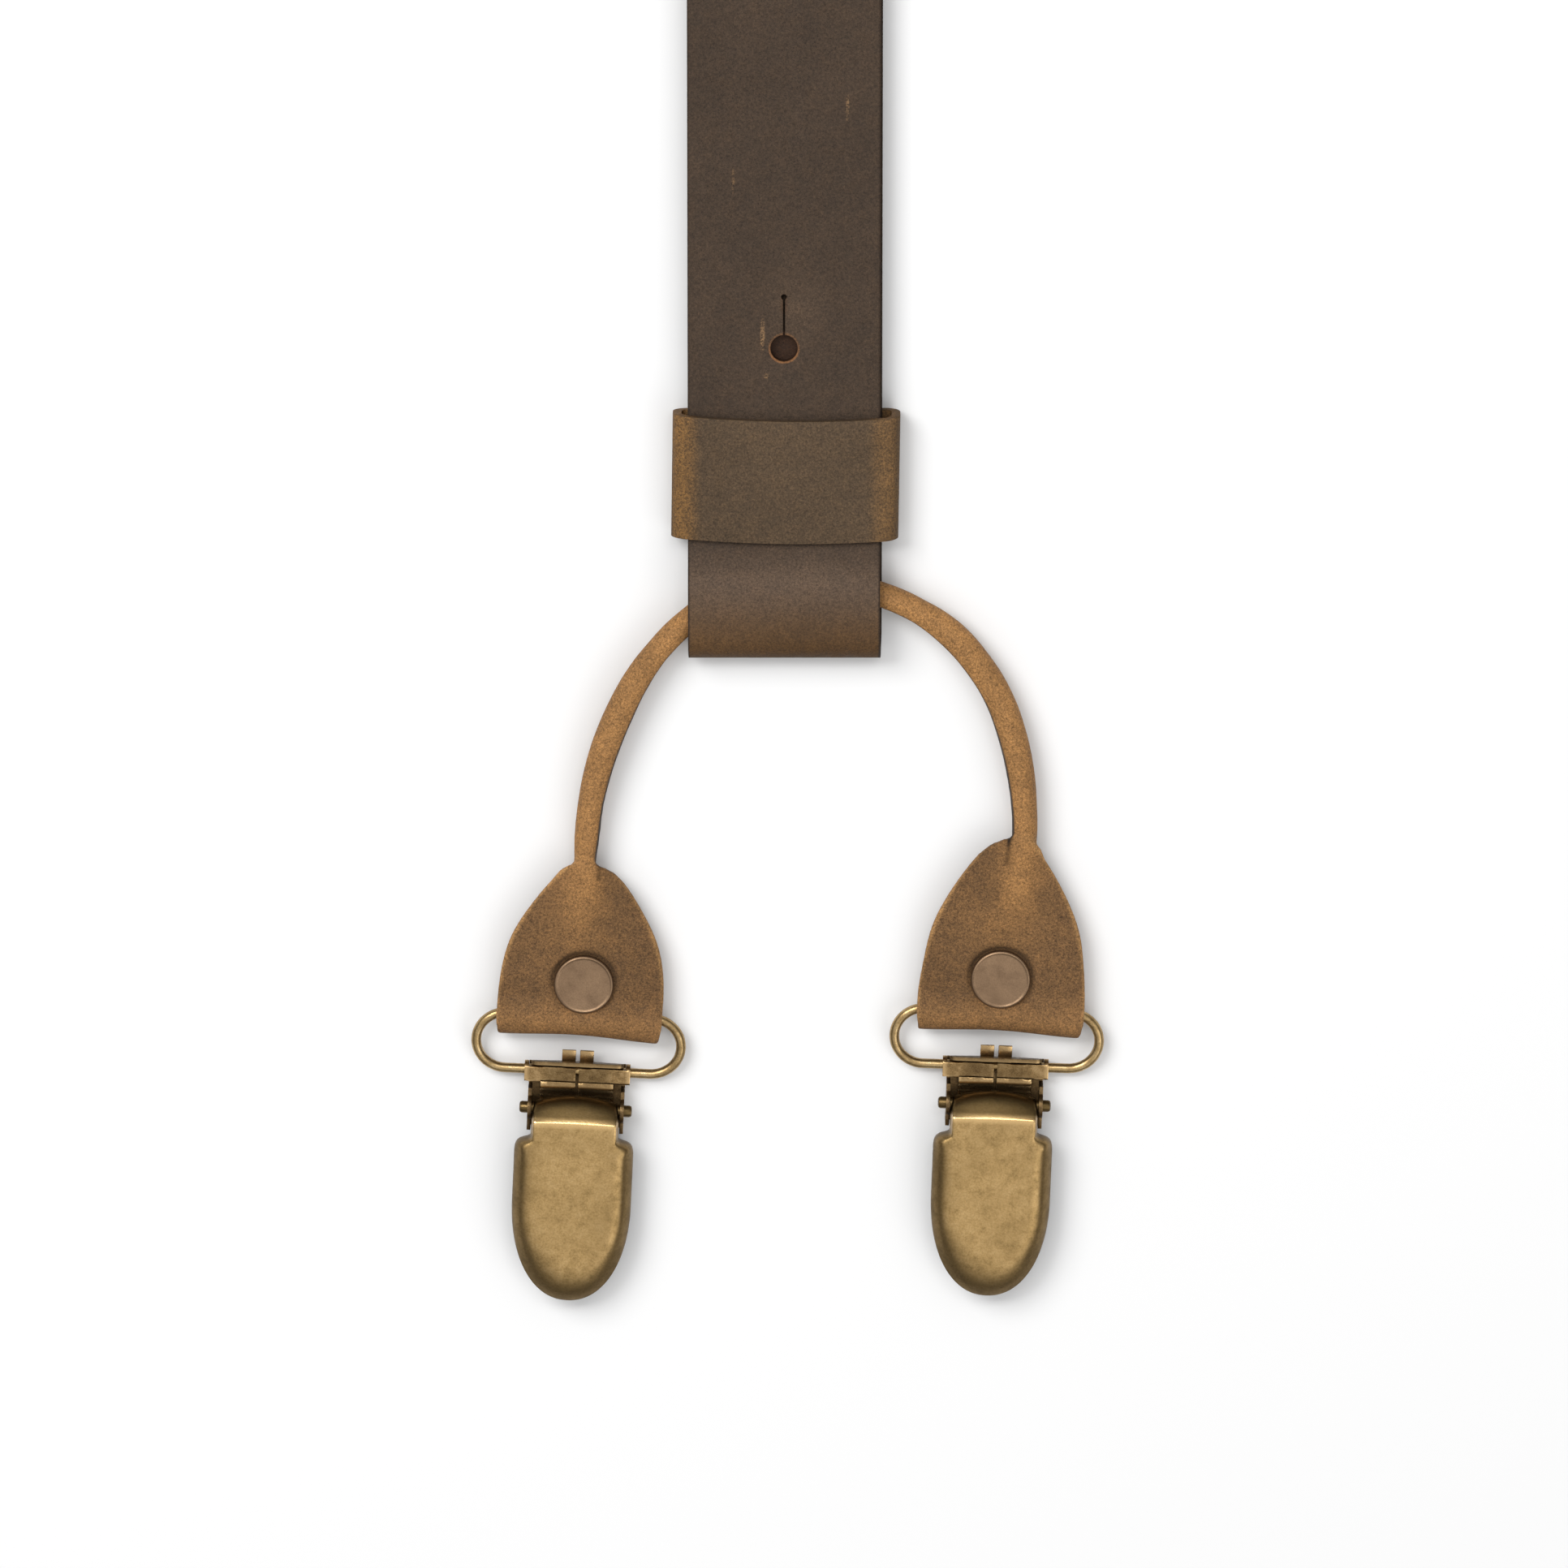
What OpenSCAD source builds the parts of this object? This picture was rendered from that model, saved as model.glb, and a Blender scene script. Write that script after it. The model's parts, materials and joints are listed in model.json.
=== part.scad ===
// Leather suspenders with a Y back, laid out flat with the outer face up.
// Three straps meet under a riveted patch. Each strap folds round a rolled
// leather yoke, and each end of a yoke carries a flap-lever trouser clip.
// Millimetres. +Y runs from the back clips to the front clips, +Z up.
// The origin lies on the resting surface, under the centre of the junction.

/* [Straps] */
// Width of every strap
strap_w = 35; // [30:1:42]
// Thickness of the strap leather
strap_t = 2; // [1.6:0.1:2.4]
// From the junction's centre to the fold of the back strap
back_len = 230; // [195:5:300]
// From the junction's centre to the fold of each front strap
front_len = 700; // [560:10:840]
// Angle of each front strap from the centre line
spread = 15; // [14:1:18]

/* [Length adjustment] */
// Diameter of the stud holes
hole_d = 5; // [4.2:0.1:6]
// Length of the slit above each stud hole
slit_len = 7; // [5:0.5:8.5]
// From the fold to the first stud hole
hole_at = 58; // [52:1:70]
// From one stud hole to the next
hole_pitch = 76; // [64:1:92]
// Number of stud holes in each front strap
front_holes = 4; // [2:1:5]
// Diameter of the stud's ball
stud_ball_d = 7.6; // [6.4:0.2:9.2]

/* [Keeper] */
// Height of the keeper band along the strap
keeper_h = 23.3; // [19:0.1:28]
// Thickness of the keeper leather
keeper_t = 1.6; // [1.3:0.1:2]
// From the fold to the keeper's lower edge
keeper_at = 22.8; // [22.5:0.1:26]
// Slack between the strap's edge and the keeper
keeper_slack = 1.6; // [0.8:0.1:2]

/* [Yoke] */
// Diameter of the rolled leather cord
cord_d = 5; // [4.2:0.1:6]
// Width of the flared tabs
tab_w = 31; // [26:1:32]
// Height of the left and right flared tab
tab_h = [34, 38];
// Thickness of the tab leather
tab_t = 1.8; // [1.5:0.1:2]
// From the tab's fold to its rivet
rivet_at = 10.4; // [10.4:0.2:14]

/* [Rivets] */
// Diameter of the rivet caps
cap_d = 10.4; // [8.8:0.2:10.4]
// Thickness of the rivet caps
cap_t = 1; // [0.8:0.1:1.1]
// Diameter of the rivet posts
post_d = 3; // [2.5:0.1:3.6]

/* [Wire loop] */
// Diameter of the loop's wire
wire_d = 1.8; // [1.5:0.1:1.9]
// Width of the loop between its wire centres
loop_w = 37.8; // [37.8:0.1:45]
// Height of the loop between its wire centres
loop_h = 11; // [10.8:0.1:13.2]

/* [Clip] */
// Thickness of the clip's sheet metal
sheet_t = 0.7; // [0.6:0.05:0.8]
// Width of the shield
shield_w = 22; // [20:0.5:26]
// From the loop's lower bar to the shield's tip
shield_reach = 42; // [38:1:50]
// Height of the shield's face above the resting surface
shield_top = 9.3; // [9.1:0.1:11]
// Width of the shield's neck
neck_w = 16.1; // [13.5:0.1:17]
// Diameter of the shield's pivot pins
pin_d = 2; // [1.7:0.1:2.4]

/* [Hidden] */
$fn = 48;
eps = 0.01;
lay = 0.1;              // gap under leather that bends close to the surface
gap = 0.2;              // gap between two layers of leather
fit = 0.05;             // radial clearance of turning and riveted joints
ENDS = ["back", "left", "right"];
CLIPS = [0, 1];

// Strap levels: heights of the middle of each layer.
floor_mid = strap_t / 2;
tail_mid = keeper_t + gap + strap_t / 2;
front_mid = tail_mid + strap_t + gap;
cord_gap = 0.15;        // between the cord and the strap folded round it
fold_r = cord_d / 2 + cord_gap + strap_t / 2;
fold_z = lay + strap_t / 2 + fold_r;
fold_y = fold_r + strap_t / 2;
bulge_mid = fold_z + fold_r;
bulge_end = 13.5;       // where the front layer starts down to the keeper
ramp_end = keeper_at - 0.3;
stud_at = hole_at + hole_pitch;
cut_w = 0.3;            // width of the cut above a stud hole
tail_end = stud_at + 14;
tail_ramp = 25;         // length of the ramp beyond the tail

// Junction: the back strap and lining below, the front straps, then the patch.
joint_lap = 24;         // reach of each strap past the junction's centre
crotch = strap_w / 2 / sin(spread);
rise_from = 15;         // where a front strap is up on the lining, below the crotch
rise_len = 30;
patch_t = strap_t;
patch_r = 7;            // radius of the patch's corners
upper_mid = strap_t + gap / 2 + strap_t / 2;
patch_z = upper_mid + strap_t / 2 + gap / 2;
rivet_row = 14;         // the two rivets on the centre line, from the centre
rivet_far = [6, 50];    // each far rivet: outwards from, and along, its strap

// Tab levels in the tab's frame: y up from the fold, z up from the surface.
slot_h = wire_d + 1.2;
tab_gap = 0.6;          // between a tab's two leaves
tab_r = slot_h / 2 + tab_t / 2;
tab_z = lay + slot_h / 2 + tab_t;
tab_y = tab_r + tab_t / 2;
tab_front = tab_z + tab_gap / 2 + tab_t / 2;
tab_back = tab_z - tab_gap / 2 - tab_t / 2;
wire_y = tab_y + 0.45;
squeeze = [rivet_at - cap_d / 2, wire_y + 0.2];  // from the leaves to the wire
tab_pos = [[-38, -72.1], [39.6, -71.2]];
tab_turn = [-4.2, -3.6];
loop_turn = [1.5, 1.5];     // how each loop leans in its tab
loop_shift = [0.1, -0.4];
rivet_x = [0.4, -0.4];

// Clip levels, from the axis of the loop's lower bar.
bar_z = 2.2;            // height of that axis above the surface
plate_t = sheet_t + 0.1;
plate_z = -bar_z;
ret_z = wire_d / 2 + fit;
ret_t = sheet_t - 0.05;
flange_y = 1.75;
flange_top = 4.7;
pivot = [-6.6, 2.7];    // y and z of the shield's pivot
face_z = shield_top - bar_z - sheet_t / 2;
cam_y = -4.3;
bend_y = -8.6;
shoulder_y = -11;
tip_len = 14;           // length of the shield's elliptical tip
skirt_z = 3.2;
pad_z = 3;
pad_top = -14;
lip_y = -shield_reach + 3.9;
lip_top = 2.2;
ear_in = neck_w / 2 + 0.15;
slit_w = 0.6;           // gap between the halves of the clip's split tongue
loop_tilt = asin((tab_z - bar_z) / loop_h);
bar_y = wire_y - loop_h * cos(loop_tilt);

// Centre line of the rolled cord from tab to tab, chosen by hand.
CORD = [
    [-37.4, -50, 4.6], [-37, -45, 4.6], [-36.5, -40, 4.4], [-36, -34, 4.3], [-35.3, -28, 4.4],
    [-34, -22, 4.5], [-32.3, -16.5, 4.6], [-30, -10.8, 4.7], [-27, -4.8, 4.75],
    [-23, 1, 4.75], [-17.8, 6.4, 4.75], [-12, 10.4, 4.75], [-6, 12.6, 4.75],
    [0, 13.3, 4.75], [6, 13.4, 4.75], [12, 13, 4.75], [18, 11.5, 4.75],
    [24.5, 8.5, 4.75], [30.3, 4.3, 4.75], [35.2, -1.3, 4.75], [39, -7.6, 4.7],
    [41.5, -14.5, 4.6], [43.1, -21.5, 4.5], [43.9, -28.5, 4.4], [44, -34, 4.3],
    [43.4, -40, 4.4], [42.6, -45, 4.6], [41.8, -50, 4.6]
];
cord_sides = 12;

// A wider strap spreads the cord and its tabs, and a thicker cord rides higher.
widen = strap_w / 2 - 17.5;
lift = cord_d / 2 - 2.5;

function route(i) = CORD[i]
    + [sign(CORD[i][0]) * widen * min(1, abs(CORD[i][0]) / 17.5), 0, lift];

// The cord thins out over its last points, where it runs in to the tabs.
function cord_r(i) =
    cord_d / 2 * min(1, 0.55 + 0.15 * min(i, len(CORD) - 1 - i));

// ---------------------------------------------------------------- functions

function ease(t) = t * t * (3 - 2 * t);

// Points of an eased ramp from a to b, each [along, height].
function ramp(a, b, n = 8) =
    [for (i = [0:n]) [a[0] + (b[0] - a[0]) * i / n,
        a[1] + (b[1] - a[1]) * ease(i / n)]];

function arc(c, r, from, to, n = 12) =
    [for (i = [0:n]) let (a = from + (to - from) * i / n)
        c + r * [cos(a), sin(a)]];

function side(p, i) =
    let (d = p[min(i + 1, len(p) - 1)] - p[max(i - 1, 0)])
    [-d[1], d[0]] / norm(d);

// Outline of a band of thickness t whose middle follows the points p.
function band(p, t) = concat(
    [for (i = [0:len(p) - 1]) p[i] + side(p, i) * t / 2],
    [for (i = [len(p) - 1:-1:0]) p[i] - side(p, i) * t / 2]);

// Side view of a strap's end: the tail, the fold and the front layer.
function strap_end_path() = concat(
    [[tail_end, tail_mid]],
    ramp([ramp_end, tail_mid], [bulge_end, floor_mid + lay]),
    arc([fold_y, fold_z], fold_r, 270, 90),
    ramp([bulge_end, bulge_mid], [ramp_end, front_mid]),
    ramp([tail_end + 3, front_mid], [tail_end + 3 + tail_ramp, floor_mid]));

// One face of a tab in side view, at height o from its middle on the leaves and
// round the fold at radius r, down to f on the front leaf and b on the back one.
function tab_face(o, r, f, b) = concat(
    [[f, tab_z + o]],
    ramp([squeeze[0], tab_z + o], [squeeze[1], tab_z + r], 5),
    arc([tab_y, tab_z], r, 90, 270),
    ramp([squeeze[1], tab_z - r], [squeeze[0], tab_z - o], 5),
    [[b, tab_z - o]]);

function tab_side(h) = concat(
    tab_face(tab_gap / 2 + tab_t, tab_r + tab_t / 2, h, h - 4),
    reversed(tab_face(tab_gap / 2, slot_h / 2, h, h - 4)));

function reversed(p) = [for (i = [len(p) - 1:-1:0]) p[i]];

// Half width of a tab's pointed arch at height y: straight, then an arc that
// narrows to the cord at height h.
function tab_half(y, h) =
    let (low = 6, w = tab_w / 2, d = w - cord_d / 2,
        r = (d * d + (h - low) * (h - low)) / (2 * d))
    y < low ? w : w - r + sqrt(max(0, r * r - (y - low) * (y - low)));

// ------------------------------------------------------------------ placing

function end_turn(e) = e == "back" ? 0 : e == "right" ? 180 - spread : 180 + spread;

function end_len(e) = e == "back" ? back_len : front_len;

// An end's frame: its origin at the fold, +Y up its strap to the junction.
module at_end(e) rotate(end_turn(e)) translate([0, -end_len(e), 0]) children();

module at_tab(c) translate(tab_pos[c] + [sign(tab_pos[c][0]) * widen, 0])
    rotate(tab_turn[c]) children();

// A tab's frame, leaned with its loop about the middle of the upper bar.
module at_loop(c) at_tab(c) translate([loop_shift[c], wire_y, 0])
    rotate(loop_turn[c]) translate([0, -wire_y, 0]) children();

module at_clip(e, c) at_end(e) at_loop(c) translate([0, bar_y, bar_z]) children();

module along_x(w) rotate([90, 0, 90]) linear_extrude(w, center = true) children();

// ------------------------------------------------------------------- straps

// A stud hole and the cut above it, through one layer centred on z = 0.
module key_hole(y) {
    deep = strap_t + gap;
    translate([0, y, 0]) {
        cylinder(d = hole_d, h = deep, center = true);
        translate([-cut_w / 2, 0, -deep / 2]) cube([cut_w, hole_d / 2 + slit_len, deep]);
    }
}

module strap(e) {
    l = end_len(e);
    holes = e == "back" ? 2 : front_holes;
    lap_mid = e == "back" ? floor_mid : upper_mid;
    rise = e == "back" ? [] :
        ramp([l - crotch - rise_from - rise_len, floor_mid], [l - crotch - rise_from, lap_mid]);
    color("#4d4138") at_end(e) difference() {
        along_x(strap_w) polygon(band(
            concat(strap_end_path(), rise, [[l + joint_lap, lap_mid]]), strap_t));
        for (i = [0:holes - 1])
            translate([0, 0, i < 2 ? front_mid : floor_mid])
                key_hole(hole_at + i * hole_pitch);
        translate([0, stud_at, 0]) cylinder(d = post_d + 2 * fit, h = tail_mid + strap_t / 2 + eps);
        to_junction(e) {
            if (e != "back") mitre(e);
            rivet_holes();
        }
    }
}

// Undoes at_end, so that the junction's cuts can be made inside a strap.
module to_junction(e) translate([0, end_len(e), 0]) rotate(-end_turn(e)) children();

// The part of a front strap that its twin and the lap's end cut away.
module mitre(e) {
    s = e == "right" ? -1 : 1;
    w = 3 * strap_w;
    translate([s * (w / 2 - gap / 2), 0, 0]) cube([w, 4 * w, 40], center = true);
    translate([0, -joint_lap - w / 2, 0]) cube([2 * w, w, 40], center = true);
}

// ----------------------------------------------------------------- junction

module patch_outline(grow = 0) {
    low = strap_w / 2 + grow;
    top = crotch * tan(spread) + strap_w / 2 / cos(spread) + grow;
    hull() {
        for (s = [-1, 1]) {
            translate([s * (low - patch_r), -joint_lap]) circle(patch_r);
            translate([s * (top - patch_r), crotch - patch_r / 2]) circle(patch_r);
        }
    }
}

function rivet_spots() =
    concat(
        [[0, -rivet_row], [0, rivet_row]],
        [for (s = [-1, 1]) let (o = rivet_far[0], l = rivet_far[1])
            [s * (l * sin(spread) + o), l * cos(spread)]]);

// Bores for the junction's rivets, sunk below for their caps.
module rivet_holes()
    for (p = rivet_spots()) translate(p) {
        cylinder(d = post_d + 2 * fit, h = 30, center = true);
        translate([0, 0, -eps]) cylinder(d = cap_d + 2 * fit, h = cap_t + eps);
    }

module junction_patch() color("#5a4a3e") difference() {
    translate([0, 0, patch_z]) linear_extrude(patch_t) patch_outline();
    rivet_holes();
}

// Fills the layer below the front straps beyond the end of the back strap.
module junction_lining() color("#4d4138") difference() {
    linear_extrude(strap_t) intersection() {
        patch_outline(-1);
        translate([-strap_w * 2, joint_lap + gap]) square([strap_w * 4, crotch]);
    }
    rivet_holes();
}

// ------------------------------------------------------------------- rivets

// Rivet through leather that lies from z0 to z1.
module rivet_cap(z1) difference() {
    translate([0, 0, z1]) rotate_extrude() cap_profile();
    translate([0, 0, z1 - eps]) cylinder(d = post_d + 2 * fit, h = cap_t / 2);
}

module rivet_post(z0, z1) {
    translate([0, 0, z0]) mirror([0, 0, 1]) rotate_extrude() cap_profile();
    translate([0, 0, z0 - eps]) cylinder(d = post_d, h = z1 - z0 + cap_t / 2 - 2 * eps);
}

module cap_profile() {
    r = cap_d / 2;
    e = cap_t * 0.4;
    square([r - e, cap_t]);
    square([r, cap_t - e]);
    translate([r - e, cap_t - e]) circle(e);
}

module tab_rivets(part) color("#8a7060")
    for (c = CLIPS) at_tab(c) translate([rivet_x[c], rivet_at, 0]) {
        z0 = tab_back - tab_t / 2;
        z1 = tab_front + tab_t / 2;
        if (part == "caps") rivet_cap(z1);
        if (part == "posts") rivet_post(z0, z1);
    }

// --------------------------------------------------------------------- stud

// Ball stud that stands on the tail and buttons through the front layer.
module stud() color("#8a7048") {
    z0 = tail_mid + strap_t / 2;
    neck = hole_d - 0.6;
    ball_z = front_mid + strap_t / 2 + 0.3 + stud_ball_d / 2 - 0.4;
    translate([0, stud_at, 0]) difference() {
        union() {
            translate([0, 0, z0]) cylinder(d = neck, h = ball_z - z0);
            translate([0, 0, ball_z]) sphere(d = stud_ball_d);
        }
        translate([0, 0, z0 - eps]) cylinder(d = post_d + 2 * fit, h = 3);
    }
}

module stud_screw() color("#8a7048") {
    z0 = tail_mid - strap_t / 2;
    translate([0, stud_at, 0]) difference() {
        union() {
            translate([0, 0, z0 - 1.2]) cylinder(d = 8, h = 1.2);
            translate([0, 0, z0 - eps]) cylinder(d = post_d, h = strap_t + 2.5);
        }
        translate([-5, -0.4, z0 - 1.2 - eps]) cube([10, 0.8, 0.5]);
    }
}

// ------------------------------------------------------------------- keeper

module keeper() color("#5c4d40")
    translate([0, keeper_at + keeper_h, 0]) rotate([90, 0, 0])
        linear_extrude(keeper_h) difference() {
            keeper_outline(keeper_t);
            keeper_outline(0);
        }

// Cross-section of the keeper's inside, grown outwards by g.
module keeper_outline(g) {
    w = strap_w + 2 * keeper_slack + 2 * g;
    z0 = keeper_t - g;
    z1 = front_mid + strap_t / 2 + gap + g;
    r = 1.2 + g;
    hull() for (s = [-1, 1], z = [z0 + r, z1 - r])
        translate([s * (w / 2 - r), z]) circle(r);
}

// --------------------------------------------------------------------- yoke

// A ring of the cord at point i, square to the route.
function cord_ring(i) =
    let (p = route(i), d = route(min(i + 1, len(CORD) - 1)) - route(max(i - 1, 0)),
        n = cross([0, 0, 1], d) / norm(cross([0, 0, 1], d)),
        u = cross(d, n) / norm(d))
    [for (k = [0:cord_sides - 1]) let (a = 360 * (k + 0.5) / cord_sides)
        p + cord_r(i) * (n * cos(a) + u * sin(a))];

module cord() {
    n = len(CORD);
    s = cord_sides;
    polyhedron(
        [for (i = [0:n - 1]) each cord_ring(i)],
        concat(
            [[for (k = [0:s - 1]) k]],
            [for (i = [0:n - 2], k = [0:s - 1]) let (a = i * s + k, b = i * s + (k + 1) % s)
                [a, a + s, b + s, b]],
            [[for (k = [s - 1:-1:0]) (n - 1) * s + k]]));
}

module tab_outline(h) {
    top = h - 0.5;
    ys = [for (i = [0:14]) top * i / 14];
    polygon(concat(
        [for (y = ys) [tab_half(y, h), y]],
        [for (i = [14:-1:0]) [-tab_half(ys[i], h), ys[i]]]));
}

module tab(c) difference() {
    intersection() {
        along_x(tab_w + 1) polygon(tab_side(tab_h[c]));
        linear_extrude(20) tab_outline(tab_h[c]);
    }
    translate([rivet_x[c], rivet_at, -eps]) cylinder(d = post_d + 2 * fit, h = 20);
}

module yoke() color("#a07b55") {
    cord();
    for (c = CLIPS) at_tab(c) tab(c);
}

// -------------------------------------------------------------------- clips

// Oval wire ring, in the tab's frame, hanging from its upper bar.
module loop() color("#a6895a")
    translate([0, wire_y, tab_z]) rotate([loop_tilt, 0, 0]) translate([0, -loop_h / 2, 0]) {
        r = loop_h / 2;
        straight = loop_w - loop_h;
        for (s = [-1, 1]) {
            translate([0, s * r, 0]) rotate([0, 90, 0])
                cylinder(d = wire_d, h = straight, center = true);
            translate([s * straight / 2, 0, 0]) rotate(s * 90 - 180)
                rotate_extrude(angle = 180) translate([r, 0]) circle(d = wire_d);
        }
    }

// Sheet that carries the jaw: flange, floor, ears and toothed lip.
module back_plate() color("#7d673f") difference() {
    union() {
        floor_w = 2 * (ear_in + sheet_t);
        translate([-floor_w / 2, shoulder_y, plate_z]) cube([floor_w, flange_y + sheet_t - shoulder_y, plate_t]);
        translate([-8.5, flange_y, plate_z]) cube([17, sheet_t, flange_top - plate_z]);
        for (s = [-1, 1]) ear(s);
        jaw();
    }
    translate([-3.25, flange_y - 1, ret_z - 0.1]) cube([6.5, 3, ret_t + 0.2]);
    translate([0, pivot[0], pivot[1]]) rotate([0, 90, 0])
        cylinder(d = pin_d + 2 * fit, h = 40, center = true);
}

module ear(s) {
    x = s > 0 ? ear_in : -ear_in - sheet_t;
    r = 2.2;
    translate([x, 0, 0]) rotate([90, 0, 90]) linear_extrude(sheet_t) {
        translate([shoulder_y, plate_z]) square([-3 - shoulder_y, pivot[1] - plate_z]);
        translate([pivot[0] - r, plate_z]) square([2 * r, pivot[1] - plate_z]);
        translate(pivot) circle(r);
    }
}

// Jaw below the ears: a tongue that turns up into a toothed lip.
module jaw() {
    w = shield_w - 8;
    teeth = 5;
    translate([-w / 2, lip_y, plate_z]) cube([w, shoulder_y - lip_y + eps, plate_t]);
    translate([-w / 2, lip_y, plate_z]) cube([w, plate_t, lip_top - 1.2 - plate_z]);
    for (i = [0:teeth - 1]) translate([w * ((i + 0.5) / teeth - 0.5), lip_y + plate_t, 0])
        rotate([90, 0, 0]) linear_extrude(plate_t) polygon([
            [-w / teeth / 2, lip_top - 1.2 - eps], [w / teeth / 2, lip_top - 1.2 - eps],
            [0.3, lip_top], [-0.3, lip_top]]);
}

// Front sheet of the frame: split tongue, shoulders rolled round the wire,
// and a stem that turns down on to the back plate.
module retainer() color("#8f7747") difference() {
    union() {
        translate([-3.15, 0, ret_z]) cube([6.3, 4.2, ret_t]);
        translate([-9.85, -2.5, ret_z]) cube([19.7, flange_y - 0.15 + 2.5, ret_t]);
        along_x(13) polygon(band(stem_path(), ret_t));
        for (s = [-1, 1]) translate([s * (9.85 - 0.45), 0, 0]) rotate([0, 90, 0])
            difference() {
                cylinder(r = ret_z + ret_t, h = 0.9, center = true);
                cylinder(r = wire_d / 2 + fit, h = 2, center = true);
            }
    }
    translate([-slit_w / 2, -20, -5]) cube([slit_w, 30, 10]);
}

function stem_path() =
    let (m = ret_z + ret_t / 2, low = plate_z + plate_t + ret_t / 2)
    concat([[0, m]], ramp([-2.3, m], [-4.7, low]), [[-9, low]]);

// Flap lever: tray with a skirt, and a neck that curls in to the cam.
module shield() color("#a4875d") {
    difference() {
        union() {
            along_x(neck_w) polygon(band(neck_path(), sheet_t));
            for (s = [-1, 1]) neck_cheek(s);
            difference() {
                translate([0, 0, skirt_z]) linear_extrude(face_z + sheet_t / 2 - skirt_z) shield_outline(0);
                translate([0, 0, skirt_z - 1]) linear_extrude(face_z - sheet_t / 2 - skirt_z + 1)
                    shield_outline(sheet_t);
            }
        }
        // The neck's cheeks pass the tray's top wall.
        translate([0, shoulder_y, (skirt_z + face_z) / 2 - 1]) cube([neck_w - 2 * sheet_t, 3, 3.5], center = true);
    }
    for (s = [-1, 1]) translate([s * (neck_w / 2 - 0.3), pivot[0], pivot[1]]) rotate([0, s * 90, 0]) {
        cylinder(d = pin_d, h = 1.9 + sheet_t);
        translate([0, 0, 1.9 + sheet_t]) cylinder(d1 = pin_d, d2 = pin_d * 0.6, h = 0.5);
    }
}

function neck_path() = concat(
    [for (i = [0:8]) let (a = 90 * i / 8)
        [bend_y + (cam_y - bend_y) * cos(a), cam_low() + (face_z - cam_low()) * sin(a)]],
    [[shoulder_y - 2, face_z]]);

function cam_low() = ret_z + ret_t + 0.45;

module neck_cheek(s) {
    x = s > 0 ? neck_w / 2 - sheet_t : -neck_w / 2;
    translate([x, 0, 0]) rotate([90, 0, 90]) linear_extrude(sheet_t) {
        translate(pivot) circle(1.7);
        polygon([[pivot[0] + 1.7, pivot[1]], [pivot[0] + 0.8, face_z - 1.2], [bend_y, face_z],
            [shoulder_y - 1, face_z], [shoulder_y - 1, skirt_z], [pivot[0] - 1.7, pivot[1]]]);
    }
}

// Outline of the tray seen from the front, taken in by g.
module shield_outline(g) {
    w = shield_w / 2 - g;
    top = shoulder_y - g;
    tip = -shield_reach + g;
    b = tip_len - g;
    polygon(concat(
        [[-w, top], [w, top]],
        [for (i = [0:16]) let (a = -180 * i / 16) [w * cos(a), tip + b + b * sin(a)]]));
}

// Plastic grip that lines the shield.
module pad() color("#2b2a28") {
    ridges = 4;
    difference() {
        intersection() {
            translate([0, 0, pad_z]) linear_extrude(face_z - sheet_t / 2 - gap / 4 - pad_z)
                shield_outline(sheet_t + 0.15);
            translate([-50, -shield_reach, 0]) cube([100, shield_reach + pad_top, 20]);
        }
        for (i = [0:ridges - 1]) translate([0, lip_y + 6 + 2.6 * i, pad_z])
            rotate([45, 0, 0]) cube([50, 0.8, 0.8], center = true);
    }
}

// ----------------------------------------------------------------- assembly

for (e = ENDS) {
    strap(e);
    at_end(e) yoke();
    at_end(e) keeper();
    at_end(e) tab_rivets("caps");
    at_end(e) tab_rivets("posts");
    at_end(e) stud();
    at_end(e) stud_screw();
    for (c = CLIPS) {
        clip = str(e, "_clip", c + 1, "_");
        at_end(e) at_loop(c) loop();
        at_clip(e, c) back_plate();
        at_clip(e, c) retainer();
        at_clip(e, c) shield();
        at_clip(e, c) pad();
    }
}
junction_patch();
junction_lining();
color("#8a7060")  // junction_rivet_caps
    for (p = rivet_spots()) translate(p) rivet_cap(patch_z + patch_t);
color("#8a7060")  // junction_rivet_posts
    for (p = rivet_spots()) translate(p) rivet_post(cap_t, patch_z + patch_t);
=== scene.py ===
# %% [markdown]
# # Leather suspenders with a Y back
# Three straps meet under a riveted patch. Each strap folds round a rolled
# leather yoke, and each yoke carries two flap-lever clips on wire loops.
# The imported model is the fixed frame: every size and place below comes from
# it, and the looks are modelled over it, piece by piece.

import json
import math

import bpy
from mathutils import Matrix, Vector


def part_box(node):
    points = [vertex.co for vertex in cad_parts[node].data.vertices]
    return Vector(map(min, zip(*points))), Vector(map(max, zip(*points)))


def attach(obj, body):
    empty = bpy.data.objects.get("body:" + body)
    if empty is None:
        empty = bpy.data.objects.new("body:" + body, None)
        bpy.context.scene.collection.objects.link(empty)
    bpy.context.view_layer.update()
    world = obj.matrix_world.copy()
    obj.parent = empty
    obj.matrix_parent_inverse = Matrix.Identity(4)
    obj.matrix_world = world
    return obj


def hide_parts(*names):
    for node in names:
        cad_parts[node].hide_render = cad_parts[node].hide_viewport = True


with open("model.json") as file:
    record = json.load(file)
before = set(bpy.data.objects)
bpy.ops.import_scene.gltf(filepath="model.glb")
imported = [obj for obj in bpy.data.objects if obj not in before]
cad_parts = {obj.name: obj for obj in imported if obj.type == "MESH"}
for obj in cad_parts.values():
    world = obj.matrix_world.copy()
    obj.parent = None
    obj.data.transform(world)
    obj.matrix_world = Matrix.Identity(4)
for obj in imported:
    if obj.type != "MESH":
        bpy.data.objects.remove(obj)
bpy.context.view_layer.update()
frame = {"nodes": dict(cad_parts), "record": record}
MM = 0.001
JOINTS = {j["name"]: j for j in frame["record"]["behaviour"]["joints"]}
ENDS = ["back", "left", "right"]

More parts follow.
